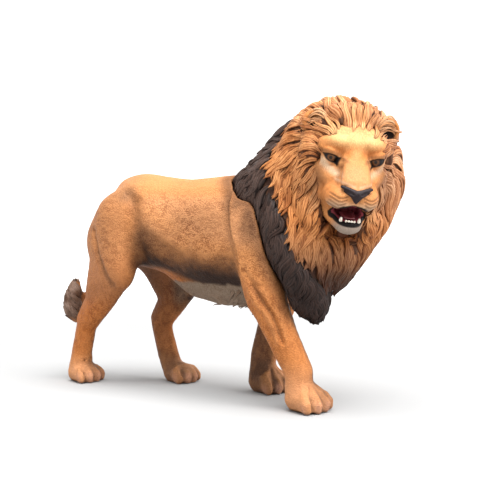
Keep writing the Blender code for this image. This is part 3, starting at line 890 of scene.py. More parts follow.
def lay(name, roots, heading, length, width, height, swing, lifts, seed,
        ridges=3, wave=11.0, within=(), lowest=0.0):
    """Locks of about that size on the roots. lifts are their heights over the guide at root, middle and tip.
    within holds measures and overhangs: a lock is cut short where its path is further out by all of them."""
    draw = np.random.default_rng(seed)
    count = len(roots)
    lengths = length * draw.uniform(0.8, 1.25, count)
    lengths = np.clip(lengths, 0, np.maximum(roots[:, 2] - lowest, 3.0))
    phase = 2.6 * grain(roots, 9.0, seed) + draw.uniform(-0.5, 0.5, count)
    swing = swing * draw.uniform(0.6, 1.3, count)
    places, ups = combed(roots, lengths, heading, swing, phase, wave)
    if within:
        flat = places.reshape(-1, 3)
        own = own_axes(flat, HEAD)
        stray = np.repeat(draw.uniform(-0.6, 1.0, count), places.shape[1])
        inside = np.any([out(flat) < over + stray for out, over in within], 0) | (from_face(own) < 1.4)
        inside &= ear_gap(own) > 2.0
        share = np.cumprod(inside.reshape(count, -1), 1).mean(1)
        keep = share > SHORTEST
        lengths = lengths * np.minimum(1, share + 0.1)
        roots, lengths, swing, phase = (values[keep] for values in (roots, lengths, swing, phase))
        count = len(roots)
        places, ups = combed(roots, lengths, heading, swing, phase, wave)
    along = np.linspace(0, 1, places.shape[1])
    base = np.interp(along, (0, 0.45, 1), lifts)[None] + draw.uniform(-0.12, 0.22, count)[:, None] * along
    base = base + draw.uniform(0, 0.9, count)[:, None] * np.maximum(along - 0.65, 0) ** 2 * 6
    made = lock_mesh(name, places, ups, width * draw.uniform(0.7, 1.25, count),
                     height * draw.uniform(0.8, 1.2, count), base, ridges)
    print(name + ":", count, "locks,", 2 * len(made.data.polygons), "triangles")
    return made


def mane_roots(size, seed):
    """(roots, share of the ruff, own axes, distance round the face) of evenly spread roots on the mane."""
    roots = guide_points[thinned(guide_points, size, seed)]
    own = own_axes(roots, HEAD)
    around = from_face(own)
    near_mane = (outside(ruff_solid, roots) < 0.8) | (cape_out(roots) < 0.5)
    near_mane |= (around > 1.05) & (around < 1.75) & (own[:, 1] < 6)
    kept = near_mane & (ear_gap(own) > 2.4)
    return roots[kept], ruff_share(roots[kept]), own[kept], around[kept]


# The measures that a lock on the ruff or on the cape must stay within, with their overhangs.
IN_RUFF = ((ruff_out, 0.0),)
IN_CAPE = ((lambda points: outside(ruff_solid, points), 0.0), (cape_out, 2.2))

manes = {}
for layer, (size, broad) in enumerate(((2.7, 1.0), (3.1, 0.62))):
    roots, ruffness, own, around = mane_roots(size, 11 + layer)
    x, _, z = own.T
    ruff = (around > 1.08) & ((ruffness > 0.5) | (around < 1.6))
    neck = (~ruff | (ruffness < 0.6)) & (around > 1.3)
    regions = {
        "crown": (ruff & (z > 4), ruff_heading, 17.0, 1.3, 1.1, 0.32, 3),
        "side_right": (ruff & (z <= 4) & (z > -18) & (x < 0), ruff_heading, 18.0, 1.6, 1.0, 0.45, 4),
        "side_left": (ruff & (z <= 4) & (z > -18) & (x >= 0), ruff_heading, 18.0, 1.6, 1.0, 0.45, 4),
        "beard": (ruff & (z <= -18), ruff_heading, 16.0, 1.5, 0.7, 0.36, 4),
        "neck_right": (neck & (roots[:, 0] < 0), cape_heading, 12.0, 1.9, 1.2, 0.62, 4),
        "neck_left": (neck & (roots[:, 0] >= 0), cape_heading, 12.0, 1.9, 1.2, 0.62, 4),
    }
    for number, (region, settings) in enumerate(regions.items()):
        chosen, heading, length, width, height, swing, ridges = settings
        name = f"mane_{region}_{layer}"
        dark = heading is cape_heading
        lifts = (-0.5, 0.25 + 0.3 * layer, 0.5 + 0.35 * layer + 0.5 * dark)
        manes[name] = lay(name, roots[chosen], heading, length * (1 - 0.15 * layer), width * broad,
                          height * (1 - 0.1 * layer), swing, lifts, 20 + number + 10 * layer,
                          max(2, ridges - 2 * layer), wave=9.5 if dark else 11.0, lowest=25.5,
                          within=IN_CAPE if dark else IN_RUFF)

# %% Finer locks round the face
fine = guide_points[thinned(guide_points, 1.6, 12)]
own = own_axes(fine, HEAD)
around = from_face(own)
_, y, z = own.T
temple = step(-9, -5, z) * step(9, 6, z)
rim = (around > 0.94 - 0.07 * step(5, 9, z)) & (around < 1.3 + 0.4 * temple) & (y < 2 + 3 * temple)
rim &= (z > -13) & (ear_gap(own) > 2.7)
manes["mane_hairline"] = lay("mane_hairline", fine[rim], ruff_heading, 8.5, 0.8, 0.5, 0.30,
                             (-0.2, 0.2, 0.6), 51, ridges=2, wave=8.0, within=((anywhere, 1.0),))

# %% [markdown]
# ## Small tufts
# The belly has a ragged fringe between the forelegs, the elbows have a tuft and the tail ends in a
# brush. Pale hairs cross the openings of the ears.

# %% Fringe, brush and ear hair
skin_points, skin_normals = points_of(body), normals_of(body)
tip_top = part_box("tail_tuft")[1][2] / MM
pick = thinned(skin_points, 1.5, 13)
x, y, z = skin_points[pick].T
fringe = (np.abs(x) < 8.5) & (y > -23) & (y < 4) & (z > 24) & (z < 33.0) & (skin_normals[pick][:, 2] < -0.3)
fringe &= grain(skin_points[pick], 2.5, 43) > step(-14, 3, y) - 0.1


def steady(x, y, z):
    """A heading that is the same everywhere."""
    return lambda points, share: np.tile((x, y, z), (len(points), 1))


manes["belly_fringe"] = lay("belly_fringe", skin_points[pick][fringe], steady(0.0, 0.75, -0.75),
                            3.6, 0.6, 0.4, 0.2, (-0.3, 0.1, 0.5), 41, ridges=2)
tuft_solid = solid_tree("tail_tuft")
brush = (nearest(tuft_solid, skin_points[pick])[2] < 0.8) & (z < tip_top - 1.0)
manes["tail_brush"] = lay("tail_brush", skin_points[pick][brush], steady(-0.45, 0.25, 1.0),
                          6.0, 1.1, 0.7, 0.35, (-0.4, 0.1, 0.6), 42, ridges=4)


def ear_hair(side, cup):
    """A fan of pale strands from the ear's inner edge out across its opening."""
    points = own_axes(points_of(cup), HEAD)
    middle = (points.min(0) + points.max(0)) / 2
    wide = (points.max(0) - points.min(0)) / 2
    rows, steps = 11, 16
    places = np.empty((rows, steps, 3))
    draw = np.random.default_rng(50 + side)
    for row in range(rows):
        share = 0.3 + 0.7 * row / (rows - 1)
        stray = draw.uniform(-0.09, 0.09, (4, 3))
        start = middle + wide * (-side * (0.9 - 0.1 * share), -0.6, -0.8 + 0.7 * share)
        bow = middle + wide * (-side * (0.5 - 0.1 * share), -1.15, -0.1 + 0.95 * share)
        end = middle + wide * (side * (0.25 - 0.1 * share), -1.0, -0.05 + 1.1 * share)
        tip = middle + wide * (side * (0.75 - 0.1 * share), -0.7, -0.45 + 1.25 * share)
        places[row] = curve(np.array([start, bow, end, tip]) + stray * wide, steps)
    places = placed(places.reshape(-1, 3), HEAD).reshape(rows, steps, 3)
    ups = np.broadcast_to(unit(placed([(0, -1, 0.25)], HEAD) - placed([(0, 0, 0)], HEAD)), places.shape)
    sizes = draw.uniform(0.6, 1.4, rows)
    return lock_mesh(f"ear_hair_{SIDE_NAMES[side]}", places, ups, 0.34 * sizes, 0.34 * sizes,
                     np.zeros((rows, steps)) + draw.uniform(-0.3, 0.3, rows)[:, None], 2)


for side, cup in ears.items():
    tuft = ear_hair(side, cup)
    manes[tuft.name] = tuft

# %% [markdown]
# ## Paint
# The maker sprays thin coats through the air, each with soft edges, then brushes a dark wash into
# the hollows and a light colour over the crests. Some coats here are painted light as well: painted
# shade in creases, hollows and on sides turned from the lamps, painted highlights on bulges. Each coat
# here is a colour and a mask. The colours are linear light, red, green and blue. The same function
# paints skin and locks.

# %% Paint pots and coats
ASH = (0.25, 0.195, 0.155)
GOLD = (0.50, 0.215, 0.078)
TAN = (0.47, 0.195, 0.066)
ORANGE = (0.43, 0.145, 0.036)
RUST = (0.30, 0.085, 0.016)
PEACH = (0.52, 0.25, 0.12)
CREAM = (0.60, 0.44, 0.29)
STRAW = (0.58, 0.375, 0.16)
BUFF = (0.19, 0.135, 0.094)
BROWN = (0.165, 0.070, 0.028)
UMBER = (0.075, 0.034, 0.018)
SOOT = (0.015, 0.0085, 0.007)
SLATE = (0.055, 0.034, 0.027)
BLACK = (0.0035, 0.0020, 0.0018)
MAROON = (0.20, 0.035, 0.045)
ROSE = (0.62, 0.33, 0.25)


class Paintwork:
    """A colour at every point, laid on in coats."""

    def __init__(self, points, colour):
        self.points, self.colour = points, np.tile(np.array(colour, float), (len(points), 1))
        self.wash = np.full(len(points), 0.12)  # how strong the dark wash in the stamped hair is

    def spray(self, colour, mask):
        mask = np.broadcast_to(np.clip(mask, 0, 1), len(self.points))[:, None]
        self.colour += mask * (np.array(colour) - self.colour)

    def dry_on(self, piece, each=1):
        """Writes each colour at the next point, or at the next few points."""
        rgba = np.ones((len(self.colour) * each, 4), np.float32)
        rgba[:, :3], rgba[:, 3] = np.repeat(self.colour, each, 0), np.repeat(self.wash, each)
        piece.data.attributes.new("Paint", "FLOAT_COLOR", "POINT").data.foreach_set("color", rgba.ravel())


# %% Body paint
# Painted shade in the creases and under the bulges of the flank and thigh: colour, strength, width and path of
# each stroke, x counted outwards.
FLANK_SHADE_STROKES = (
    (BROWN, 0.62, 2.3, [(11, 24.4, 58), (11.8, 22.4, 51), (10, 22, 44)]),
    (BROWN, 0.65, 3.0, [(11.5, 20, 48.5), (11, 13, 44.5), (10.5, 7, 41.5)]),
    (BROWN, 0.5, 1.3, [(13.6, 37.8, 42.2), (14.5, 34.1, 36.5), (14, 31, 32.5)]),
    (UMBER, 0.7, 3.4, [(11.4, 21.5, 47), (10.5, 19, 43), (9, 21, 40)]),
)


def body_paint(points, inwards=0.0):
    """Golden back, tan flanks, painted shade on and under the flank's lower edge, pale belly, orange legs and
    peach paws.
    inwards is 1 where the surface faces the middle of the figure, as the inside of a leg does; there it gets
    painted shade."""
    x, y, z = points.T

    def brushed(path, width):
        return np.exp(-((distance_to(points, curve(path, 10)) / width) ** 2))

    soft = grain(points, 6.0, 60)
    fine = grain(points, 1.7, 61)
    coat = Paintwork(points, TAN)
    coat.spray(GOLD, step(57, 64, z + 1.5 * soft) * 0.95)
    coat.spray(ORANGE, (1 - step(26, 44, z + 2 * soft)) * 0.75)
    coat.spray(RUST, step(7, 13, z) * (1 - step(34, 46, z)) * (0.12 + 0.5 * step(5, 12, y)))
    coat.spray(BROWN, 0.26 * step(25, 33, y) * step(24, 32, z) * (1 - step(60, 64, z)))
    coat.spray(PEACH, 0.55 * step(43, 50, z) * (1 - step(58, 62, z)) * (1 - step(19, 26, y)))
    coat.spray(ORANGE, step(17, 27, y) * step(34, 40, z) * (1 - step(56, 62, z)) * 0.35)
    edge = 36.6 + 0.012 * (y - 2) ** 2 * np.where(y > 2, 1.0, 0.15)
    flank = step(-19, -15, y - 14 * (x > 0)) * (1 - step(20, 26, y)) * step(4.5, 7.5, np.abs(x))
    # On each flank: a painted highlight along the bulge (sunlit), painted shade over the ribs and in the notch
    # at the hip, then the painted shade strokes.
    for side, back in HIND_SHIFT.items():
        sunlit = on_side([(11.4, 18 + back, 55), (12.4, 4, 48.5), (13, -7, 45)], side)
        coat.spray(GOLD, 0.6 * brushed(sunlit, 3.2))
        coat.spray(BROWN, (0.30 + 0.12 * soft) * near(points, (side * 13, -4, 53), (6, 12, 5.5), 0.6))
        coat.spray(BROWN, 0.62 * near(points, (side * 9.9, 28.0 + back, 60.6), (4, 3, 2.6), 0.7))
        for colour, strength, width, path in FLANK_SHADE_STROKES:
            coat.spray(colour, strength * brushed(on_side(path, side, back), width))
    # Painted shade on the lower flank, darkest at and under its hanging edge.
    coat.spray(BROWN, flank * (1 - step(edge + 2, edge + 11, z + soft + fine)) * 0.75)
    coat.spray(SOOT, flank * (1 - step(edge - 0.5, edge + 6.5, z + soft + fine)) * 0.95)
    # Painted shade in the groin.
    for side, back in HIND_SHIFT.items():
        groin = on_side([(12, 21.8, 42.5), (11.5, 21.5, 39), (6.5, 24.5, 39)], side, back)
        coat.spray(SOOT, brushed(groin, 3.7))
    for side, back in FORE_SHIFT.items():
        crease = on_side([(10.9, -12.4, 60), (14.3, -15.4, 49.4), (14.4, -18.2, 37)], side, back)
        coat.spray(BROWN, 0.6 * brushed(crease, 1.3))
        elbow = on_side([(16, -25.0, 35.0), (15.4, -29, 29.5), (14.2, -32.5, 22)], side, back)
        coat.spray(BROWN, 0.4 * brushed(elbow, 1.5))
    out = np.abs(x)
    belly = step(-25, -18, y) * (1 - step(20, 27, y))
    under = belly * (1 - step(33.6, 34.6, z + 0.5 * fine)) * (1 - step(8.5, 10, out))
    coat.spray(BUFF, under * step(24, 27, z))
    # Painted shade on the inner sides of the legs, where they face each other.
    between = (1 - step(3.0, 8.0, out)) * (1 - step(34, 42, z)) * step(-1, 9, z)
    coat.spray(UMBER, between * 0.8 * (1 - under) * inwards)
    coat.spray(BUFF, 0.2 * step(22, 30, y) * step(22, 30, z))
    # Dark overspray on the body along the mane, partly painted shade where the mane overhangs the shoulder;
    # more on the right shoulder.
    coat.spray(UMBER, (1 - step(0.8, 6.5, nearest(cape_solid, points)[2])) * 0.8)
    coat.spray(UMBER, 0.6 * near(points, (-14, -22.5, 53), (3.5, 3, 6), 0.6))
    coat.spray(PEACH, (1 - step(5, 10 + 6 * step(0, -10, y), z + soft)) * 0.75)
    # More painted shade on the inner sides of the legs, strongest on the forelegs.
    coat.spray(UMBER, inwards * (1 - step(30, 38, z)) * (0.55 + 0.35 * step(0, -8, y)))
    coat.spray(BROWN, (1 - step(0.5, 3.0, nearest(tuft_solid, points)[2])) * 0.9)
    coat.spray(UMBER, (1 - step(0.3, 1.3, z)) * 0.85)
    for node in PAWS:
        low, high = (np.array(corner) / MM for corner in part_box(node))
        inner = -np.sign(low[0]) * (x - (low[0] + high[0]) / 2)
        there = (y > low[1] - 1.5) & (y < high[1] + 1.5) & (np.abs(inner) < 7.5)
        # Painted shade on the inner half of each paw.
        coat.spray(SOOT, step(-4, 2, inner) * (1 - step(8, 12, z)) * there * 0.45)
        for ray in toe_rays(node, GROOVES):
            coat.spray(UMBER, 0.7 * brushed(ray[1:], 0.6))
        for ray in toe_rays(node, TOE_HAIRS):
            coat.spray(BROWN, 0.5 * brushed(ray[1:], 0.3))
        for ray in toe_rays(node, TOES):
            coat.spray(ROSE, 0.5 * brushed(ray[1:], 1.1) * (1 - step(2, 4.5, z)))
    ribs = near(points, (13, -3, 52), (7, 14, 8), 0.6) + near(points, (-13, -3, 52), (7, 14, 8), 0.6)
    fading = 1 - 0.65 * step(57, 65, z)
    coat.wash = (0.36 + 0.14 * ribs + 0.06 * soft) * fading * (0.4 + 0.6 * step(5, 14, z))
    return coat


# %% Face paint
def face_paint(points):
    """Straw forehead with painted highlights on it, cream round the eyes and lips, black rims, painted shade
    under the brow and in the hollow at the cheek.
    """
    own = own_axes(points, HEAD)
    _, y, z = own.T
    coat = Paintwork(points, TAN)

    def drawn(path, width, side):
        """A brush line on the front of the face, given as places outwards and up."""
        line = curve([(side * out, 0, up) for out, up in path], 10)
        return np.exp(-((distance_to(own * (1, 0, 1), line) / width) ** 2)) * (y < -7)

    coat.spray(PEACH, near(own, (0, -17, -3), (4.4, 5, 4), 0.4) * 0.35)
    for side in BOTH:
        # Straw over the brow bumps, partly a painted highlight.
        coat.spray(STRAW, near(own, (side * 3.4, -9, 7.8), (4.0, 6, 2.4), 0.6) * 0.7)
        coat.spray(ORANGE, 0.6 * drawn([(1.6, 3.4), (4.4, 3.6), (7.0, 4.3), (9.2, 4.5)], 1.1, side))
        # A brown line under the brow: painted shade just above the eye.
        coat.spray(BROWN, 0.65 * drawn([(2.6, 1.6), (4.4, 2.9), (7.0, 3.5), (9.2, 3.6)], 0.5, side))
        # Painted shade in the hollow between the cheek and the mane.
        coat.spray(BROWN, near(own, (side * 10.2, -5.0, -5.5), (3.4, 6, 8.5), 0.7) * 0.85)
        coat.spray(ORANGE, 0.5 * drawn([(4.4, -3.0), (6.0, -5.0), (7.6, -8.0)], 1.4, side))
        coat.spray(BROWN, 0.6 * drawn([(3.5, 1.6), (3.9, -1.0), (4.6, -4.2)], 0.5, side))
        coat.spray(CREAM, drawn([(8.6, 0.9), (6.9, -0.7), (5.0, -1.9)], 0.9, side) * (0.7 - 0.15 * side))
        coat.spray(CREAM, near(own, (side * 4.0, -15.5, -11.0), (4.6, 5, 2.4), 0.45) * 0.6)
        coat.spray(ASH, near(own, (side * 4.2, -15.5, -11.2), (4.2, 5, 1.6), 0.5) * 0.6)
        # A painted highlight just above the nose leather.
        coat.spray(CREAM, 0.35 * drawn([(0.8, -4.5), (2.8, -4.0), (5.0, -3.5)], 0.4, side))
        for row in range(4):
            drop = row * 0.95
            whiskers = [(2.2 + row * 0.25, -7.3 - drop), (4.3, -7.9 - drop), (6.5, -7.0 - drop)]
            coat.spray(BROWN, 0.75 * drawn(whiskers, 0.26, side))
    # Straw in the middle of the forehead, partly a painted highlight.
    coat.spray(STRAW, near(own, (0, -11.5, 8.2), (2.4, 4, 1.6), 0.5) * 0.4)
    coat.spray(ASH, near(own, (0, -13.5, -17.2), (5.0, 5.5, 3.2), 0.4))
    cleft = distance_to(own, curve([(0, -18.6, -8.0), (0, -18.4, -10.6)], 6))
    coat.spray(BLACK, np.exp(-((cleft / 0.36) ** 2)) * 1.2)
    lips = nearest(mouth_tree, points)[2]
    thick = 0.4 + 1.0 * step(-11.3, -13.0, z)
    coat.spray(BLACK, (1 - step(thick, thick + 0.35, lips)) * (y < -8))
    inside = (lips < 0.34) & (y > -15.2 - 0.5 * (z + 12))
    coat.spray(MAROON, inside)
    for side in BOTH:
        edge, reach = opening(points, side)
        corner = distance_to(own, curve([(side * 4.4, -10.2, 0.6), (side * 4.1, -10.6, -0.5)], 5))
        beside = 1 - step(EYE_RADIUS + 0.8, EYE_RADIUS + 1.8, reach)
        coat.spray(BLACK, beside * (1 - step(0.05, 0.34, edge)))
        coat.spray(BLACK, 1 - step(0.05, 0.25, corner))
    return coat


mouth_tree = BVHTree.FromObject(mouth, bpy.context.evaluated_depsgraph_get())
bpy.data.objects.remove(mouth)


# %% Mane paint
def mane_paint(points, neck):
    """Orange and gold in front and darker down the beard, or charcoal where neck is 1; lighter on the ruff's
    left half as painted light, darker beside the face as painted shade.
    neck is one number for all points or one for each."""
    own = own_axes(points, HEAD)
    x, _, z = own.T
    soft = grain(points, 5.0, 80)
    coat = Paintwork(points, ORANGE)
    coat.spray(GOLD, (0.5 + 0.35 * soft) * step(-24, -4, z))
    coat.spray(PEACH, 0.4 * step(4, 12, z))
    # The left half of the lower ruff is lighter as painted light.
    coat.spray(PEACH, 0.75 * step(1, 8, x) * step(-18, -8, z))
    coat.spray(RUST, 0.2 + 0.5 * grain(points, 3.5, 81))
    coat.spray(BROWN, 0.7 * (1 - step(-26, -15, z)))
    coat.spray(UMBER, (1 - step(-33, -23, z + 1.5 * soft)) * 0.95)
    coat.spray(SOOT, (1 - step(-36, -28, z + 1.5 * soft)) * 0.8)
    # Painted shade on the mane beside the face, at the temples.
    right, left = (near(own, (side * 10.8, -3, -5), (2.4, 5, 7), 0.6) for side in BOTH)
    coat.spray(BROWN, right * 0.4 + left * 0.4)
    coat.spray(SLATE, neck)
    coat.spray(SOOT, neck * (0.3 + 0.35 * soft))
    coat.spray(SOOT, neck * (1 - step(36, 54, points[:, 2])) * 0.8)
    return coat


# %% Put the paint on
skin_points, skin_normals = points_of(body), normals_of(body)
inwards = step(-0.1, 0.6, -np.sign(skin_points[:, 0]) * skin_normals[:, 0])
coat = body_paint(skin_points, inwards)
# Dark wash in the hollows between the muscles and a light brush over their ridges: partly the toy's own wash
# and dry brush, partly painted shade in the hollows and a painted highlight on the ridges.
hollow = hollows(body, 60)
coat.spray(BROWN, 0.5 * step(0.05, 0.5, hollow))
coat.spray(GOLD, 0.3 * step(0.05, 0.5, -hollow))
coat.dry_on(body)
note(body, "Hair", body_hair * 0.5 + 0.5)
face_paint(points_of(head)).dry_on(head)
note(head, "Hair", face_hair * 0.5 + 0.5)
coat = mane_paint(points_of(core), 1 - ruff_share(points_of(core)))
# The core is painted dark all over, as painted shade in the gaps between the locks.
coat.spray(UMBER, 0.9)
coat.dry_on(core)
for name, piece in manes.items():
    places, ring = paths_of[name]
    steps, roots, points = places.shape[1], places[:, 2], places.reshape(-1, 3)
    if name == "belly_fringe":
        coat = body_paint(points)
        coat.spray(BUFF, 0.6)
    elif name == "tail_brush":
        coat = Paintwork(points, (0.26, 0.18, 0.14))
        coat.spray(UMBER, 0.6 + 0.5 * grain(points, 2.0, 90))
        coat.spray(TAN, 1 - step(18, 21, points[:, 2]))
    elif name.startswith("ear_hair"):
        coat = Paintwork(points, (0.60, 0.38, 0.22))
        coat.spray(TAN, np.repeat(0.55 + 0.45 * grain(roots, 0.9, 91), steps))
    else:
        coat = mane_paint(points, float("neck" in name))
        if name == "mane_hairline":
            share = 1 - step(0.92, 1.12, np.repeat(from_face(own_axes(roots, HEAD)), steps))[:, None]
            coat.colour += share * (face_paint(points).colour - coat.colour)
    coat.dry_on(piece, ring)
for side, cup in ears.items():
    own = own_axes(points_of(cup), HEAD)
    coat = Paintwork(own, TAN)
    middle = (own.min(0) + own.max(0)) / 2
    coat.spray(ORANGE, 0.5)
    coat.spray(BROWN, 0.8 * step(-1.0, 1.0, own[:, 1] - middle[1]))
    # Painted shade in the hollow of the ear's opening.
    coat.spray(SOOT, near(own, middle + (side * 0.2, -1.2, -0.4), (2.9, 2.6, 3.2), 0.25))
    coat.dry_on(cup)


# %% [markdown]
# ## Shader maths
# A node graph for a finish is mostly arithmetic. This small class wraps one output socket, so that
# a graph is written as an expression: adding two wires adds a Math node. Colours are blended with
# the Mix node, since a Math node would turn them grey.

# %% A wire between shader nodes
class Wire:
    def __init__(self, tree, socket=None):
        self.tree, self.socket = tree, socket

    def node(self, kind, settings=None, sockets=None, out=0):
        """Adds a node: its settings first, then the values or links of its sockets."""
        made = self.tree.nodes.new("ShaderNode" + kind)
        for name, value in (settings or {}).items():
            if name == "stops":
                for stop, (at, colour) in zip(made.color_ramp.elements, value):
                    stop.position, stop.color = at, (*colour, 1.0)
            else:
                setattr(made, name, value)
        for name, value in (sockets or {}).items():
            if isinstance(value, Wire):
                self.tree.links.new(value.socket, made.inputs[name])
            else:
                made.inputs[name].default_value = value
        return Wire(self.tree, made.outputs[out] if len(made.outputs) else None)

    def math(self, operation, first, second):
        return self.node("Math", {"operation": operation}, {0: first, 1: second})

    def __add__(self, other):
        return self.math("ADD", self, other)

    def __radd__(self, other):
        return self.math("ADD", other, self)

    def __sub__(self, other):
        return self.math("SUBTRACT", self, other)

    def __rsub__(self, other):
        return self.math("SUBTRACT", other, self)

    def __mul__(self, other):
        return self.math("MULTIPLY", self, other)

    def __rmul__(self, other):
        return self.math("MULTIPLY", other, self)

    def eased(self, low, high, start=0.0, end=1.0):
        """A soft step from start to end as this wire goes from low to high."""
        return self.node("MapRange", {"interpolation_type": "SMOOTHSTEP"},
                         {0: self, 1: low, 2: high, 3: start, 4: end})

    def blend(self, other, share, mode="MIX"):
        """This colour with another one over it."""
        other = other if isinstance(other, Wire) else (*other, 1.0)
        return self.node("Mix", {"data_type": "RGBA", "blend_type": mode},
                         {0: share, 6: self, 7: other}, out=2)

    def ramp(self, *stops):
        """A colour that follows this wire between two stops, each a value and its colour."""
        return self.node("ValToRGB", {"stops": stops}, {0: self})

    def bump(self, strength, distance):
        """A surface that rises and falls with this wire; distance in metres."""
        return self.node("Bump", None, {"Strength": strength, "Distance": distance, "Height": self})

    def noise(self, scale, stretch=(1, 1, 1), detail=2.0):
        """Noise in the figure's own space. scale counts bumps in a millimetre."""
        where = self.node("TexCoord", out=3)
        where = self.node("Mapping", None, {0: where, 3: tuple(s * scale / MM for s in stretch)})
        return self.node("TexNoise", {"noise_dimensions": "3D"},
                         {"Vector": where, "Scale": 1.0, "Detail": detail})

    def noted(self, label, out=2):
        return self.node("Attribute", {"attribute_name": label}, out=out)


def finish(name, **plain):
    """A material with a Principled shader, a wire to start from and a function that links sockets."""
    made = bpy.data.materials.new(name)
    made.use_nodes = True
    shader = made.node_tree.nodes["Principled BSDF"]
    for label, value in plain.items():
        shader.inputs[label.replace("_", " ")].default_value = value

    def link(**wires):
        for label, wire in wires.items():
            made.node_tree.links.new(wire.socket, shader.inputs[label.replace("_", " ")])

    return made, Wire(made.node_tree), link


# %% [markdown]
# ## The finishes
# The coat's plastic is satin. Its wash darkens the low places of the stamped hair and its bump makes
# the finest hairs, stretched along the body on the trunk and down the limb on the legs.

# %% Coat
def coat_finish(name, along, limb, fine, relief):
    made, wire, link = finish(name, IOR=1.46, Specular_IOR_Level=0.14)
    trunk_hair = wire.noise(fine, along, 1.5)
    limb_hair = wire.noise(fine, limb, 1.5)
    height = wire.node("SeparateXYZ", None, {0: wire.node("TexCoord", out=3)}, out=2)
    on_trunk = height.eased(0.030, 0.040)
    hairs = trunk_hair * on_trunk + limb_hair * (1 - on_trunk)
    low = (hairs * 0.75 + wire.noted("Hair") * 0.25).eased(0.56, 0.40)
    cloud = wire.noise(0.09).eased(0.35, 0.65)
    paint = wire.noted("Paint", out=0)
    deep = paint.blend((0.30, 0.155, 0.085), 1.0, "MULTIPLY")
    colour = paint.blend(deep, low * wire.noted("Paint", out=3) * (0.6 + 0.8 * cloud))
    pale = colour.blend((1.6, 1.6, 1.5), 1.0, "MULTIPLY")
    light = colour.blend(pale, hairs.eased(0.50, 0.75) * 0.3)
    link(Base_Color=light, Roughness=0.46 + 0.16 * hairs, Normal=hairs.bump(0.8, relief * MM))
    return made


coat_material = coat_finish("coat", (1.0, 0.65, 1.0), (0.65, 0.65, 1.2), 3.1, 0.40)
face_material = coat_finish("face", (1.0, 1.0, 0.55), (1.0, 1.0, 0.55), 3.0, 0.12)


# %% Locks and mane core
def lock_finish(name, dark, light, wash, crest_highlight):
    made, wire, link = finish(name, IOR=1.46, Specular_IOR_Level=0.18)
    # Darker in the grooves, at each lock's edges and towards its root: partly the toy's wash, partly painted
    # shade between the locks. Lighter on the crests: partly dry brush, partly a painted highlight.
    crest = wire.noted("Crest") * wire.noted("Along").eased(-0.1, 0.3, 0.3, 1.0)
    streaks = wire.noise(1.1, (1.0, 1.0, 0.35))
    low = (crest * 0.8 + streaks * 0.5).eased(0.92, 0.25)
    paint = wire.noted("Paint", out=0)
    tone = paint.blend((0.50, 0.37, 0.29), wire.noted("Lock").eased(0.35, 1.0) * 0.7, "MULTIPLY")
    colour = tone.blend(dark, low * wash)
    bright = colour.blend(light, 1.0, "MULTIPLY")
    colour = colour.blend(bright, (crest * 0.75 + streaks * 0.5).eased(0.66, 1.1) * crest_highlight)
    link(Base_Color=colour, Roughness=0.42 + 0.16 * streaks, Normal=streaks.bump(0.4, 0.00015))
    return made


mane_material = lock_finish("mane", (0.075, 0.022, 0.008), (1.5, 1.9, 2.4), 0.95, 0.8)
dark_material = lock_finish("dark_mane", (0.005, 0.003, 0.0028), (2.0, 1.8, 1.7), 0.85, 0.7)
fringe_material = lock_finish("fringe", (0.10, 0.06, 0.04), (1.6, 1.6, 1.6), 0.6, 0.6)

core_material, wire, link = finish("mane_core", IOR=1.46, Specular_IOR_Level=0.2)
depth = wire.noise(0.6, (1, 1, 0.4))
link(Base_Color=wire.noted("Paint", out=0).blend((0.4, 0.3, 0.25), depth.eased(0.4, 0.6), "MULTIPLY"),
     Roughness=0.55 + 0.2 * depth, Normal=depth.bump(0.5, 0.0003))

# %% Eyes, nose, mouth and teeth
eye_material, wire, link = finish("eye", IOR=1.45, Roughness=0.3, Specular_IOR_Level=0.1,
                                  Coat_Weight=0.2, Coat_Roughness=0.06)
ring = wire.noted("Gaze")
rays = wire.noise(2.2, detail=3.0)
iris = ring.eased(0.55, 1.2).ramp((0.0, (0.10, 0.036, 0.010)), (1.0, (0.022, 0.008, 0.004)))
iris = iris.blend((0.17, 0.065, 0.018), rays.eased(0.5, 0.7) * 0.4)
iris = iris.blend((0.012, 0.006, 0.003), 1 - ring.eased(0.30, 0.72))
link(Base_Color=iris.blend(BLACK, ring.eased(1.12, 1.32)), Normal=rays.bump(0.05, 0.0001))


def small_finish(name, bumps, stops, rough, relief, **plain):
    """A finish of two colours in small spots. bumps counts them in a millimetre."""
    made, wire, link = finish(name, **plain)
    spots = wire.noise(bumps)
    link(Base_Color=spots.ramp(*stops), Roughness=rough + 0.2 * spots, Normal=spots.bump(relief, 0.0001))
    return made


nose_material = small_finish("nose", 1.6, [(0.3, (0.009, 0.005, 0.006)), (0.8, (0.022, 0.011, 0.013))],
                             0.42, 0.3, IOR=1.45, Specular_IOR_Level=0.25)
tongue_material = small_finish("mouth", 1.8, [(0.3, (0.10, 0.012, 0.016)), (0.8, (0.17, 0.030, 0.032))],
                               0.3, 0.3, IOR=1.48, Coat_Weight=0.3, Coat_Roughness=0.2)
teeth_material = small_finish("teeth", 1.2, [(0.35, (0.78, 0.72, 0.62)), (0.7, (0.55, 0.46, 0.36))],
                              0.25, 0.1, IOR=1.5, Coat_Weight=0.3)

# %% [markdown]
# ## Put the figure together
# Every piece rides on the one body of the solid model and stands for the solids that it covers.

# %% Ride and replace
def place_on_model(piece, finish_used, slot=None, stands_for=()):
    piece.data.materials.clear()
    piece.data.materials.append(finish_used)
    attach(piece, "root")
    if stands_for:
        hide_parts(*stands_for)


place_on_model(body, coat_material, "coat", FLESH)
place_on_model(head, face_material, "coat", ("head", "jaw"))
place_on_model(core, core_material, "dark_mane", ("mane_ruff", "mane_cape"))


def lock_slot(name):
    """(finish, slot) of a piece made of locks."""
    if "neck" in name:
        return dark_material, "dark_mane"
    if name == "belly_fringe":
        return fringe_material, "coat"
    if name == "tail_brush" or name.startswith("ear_hair"):
        return fringe_material, "mane"
    return mane_material, "mane"


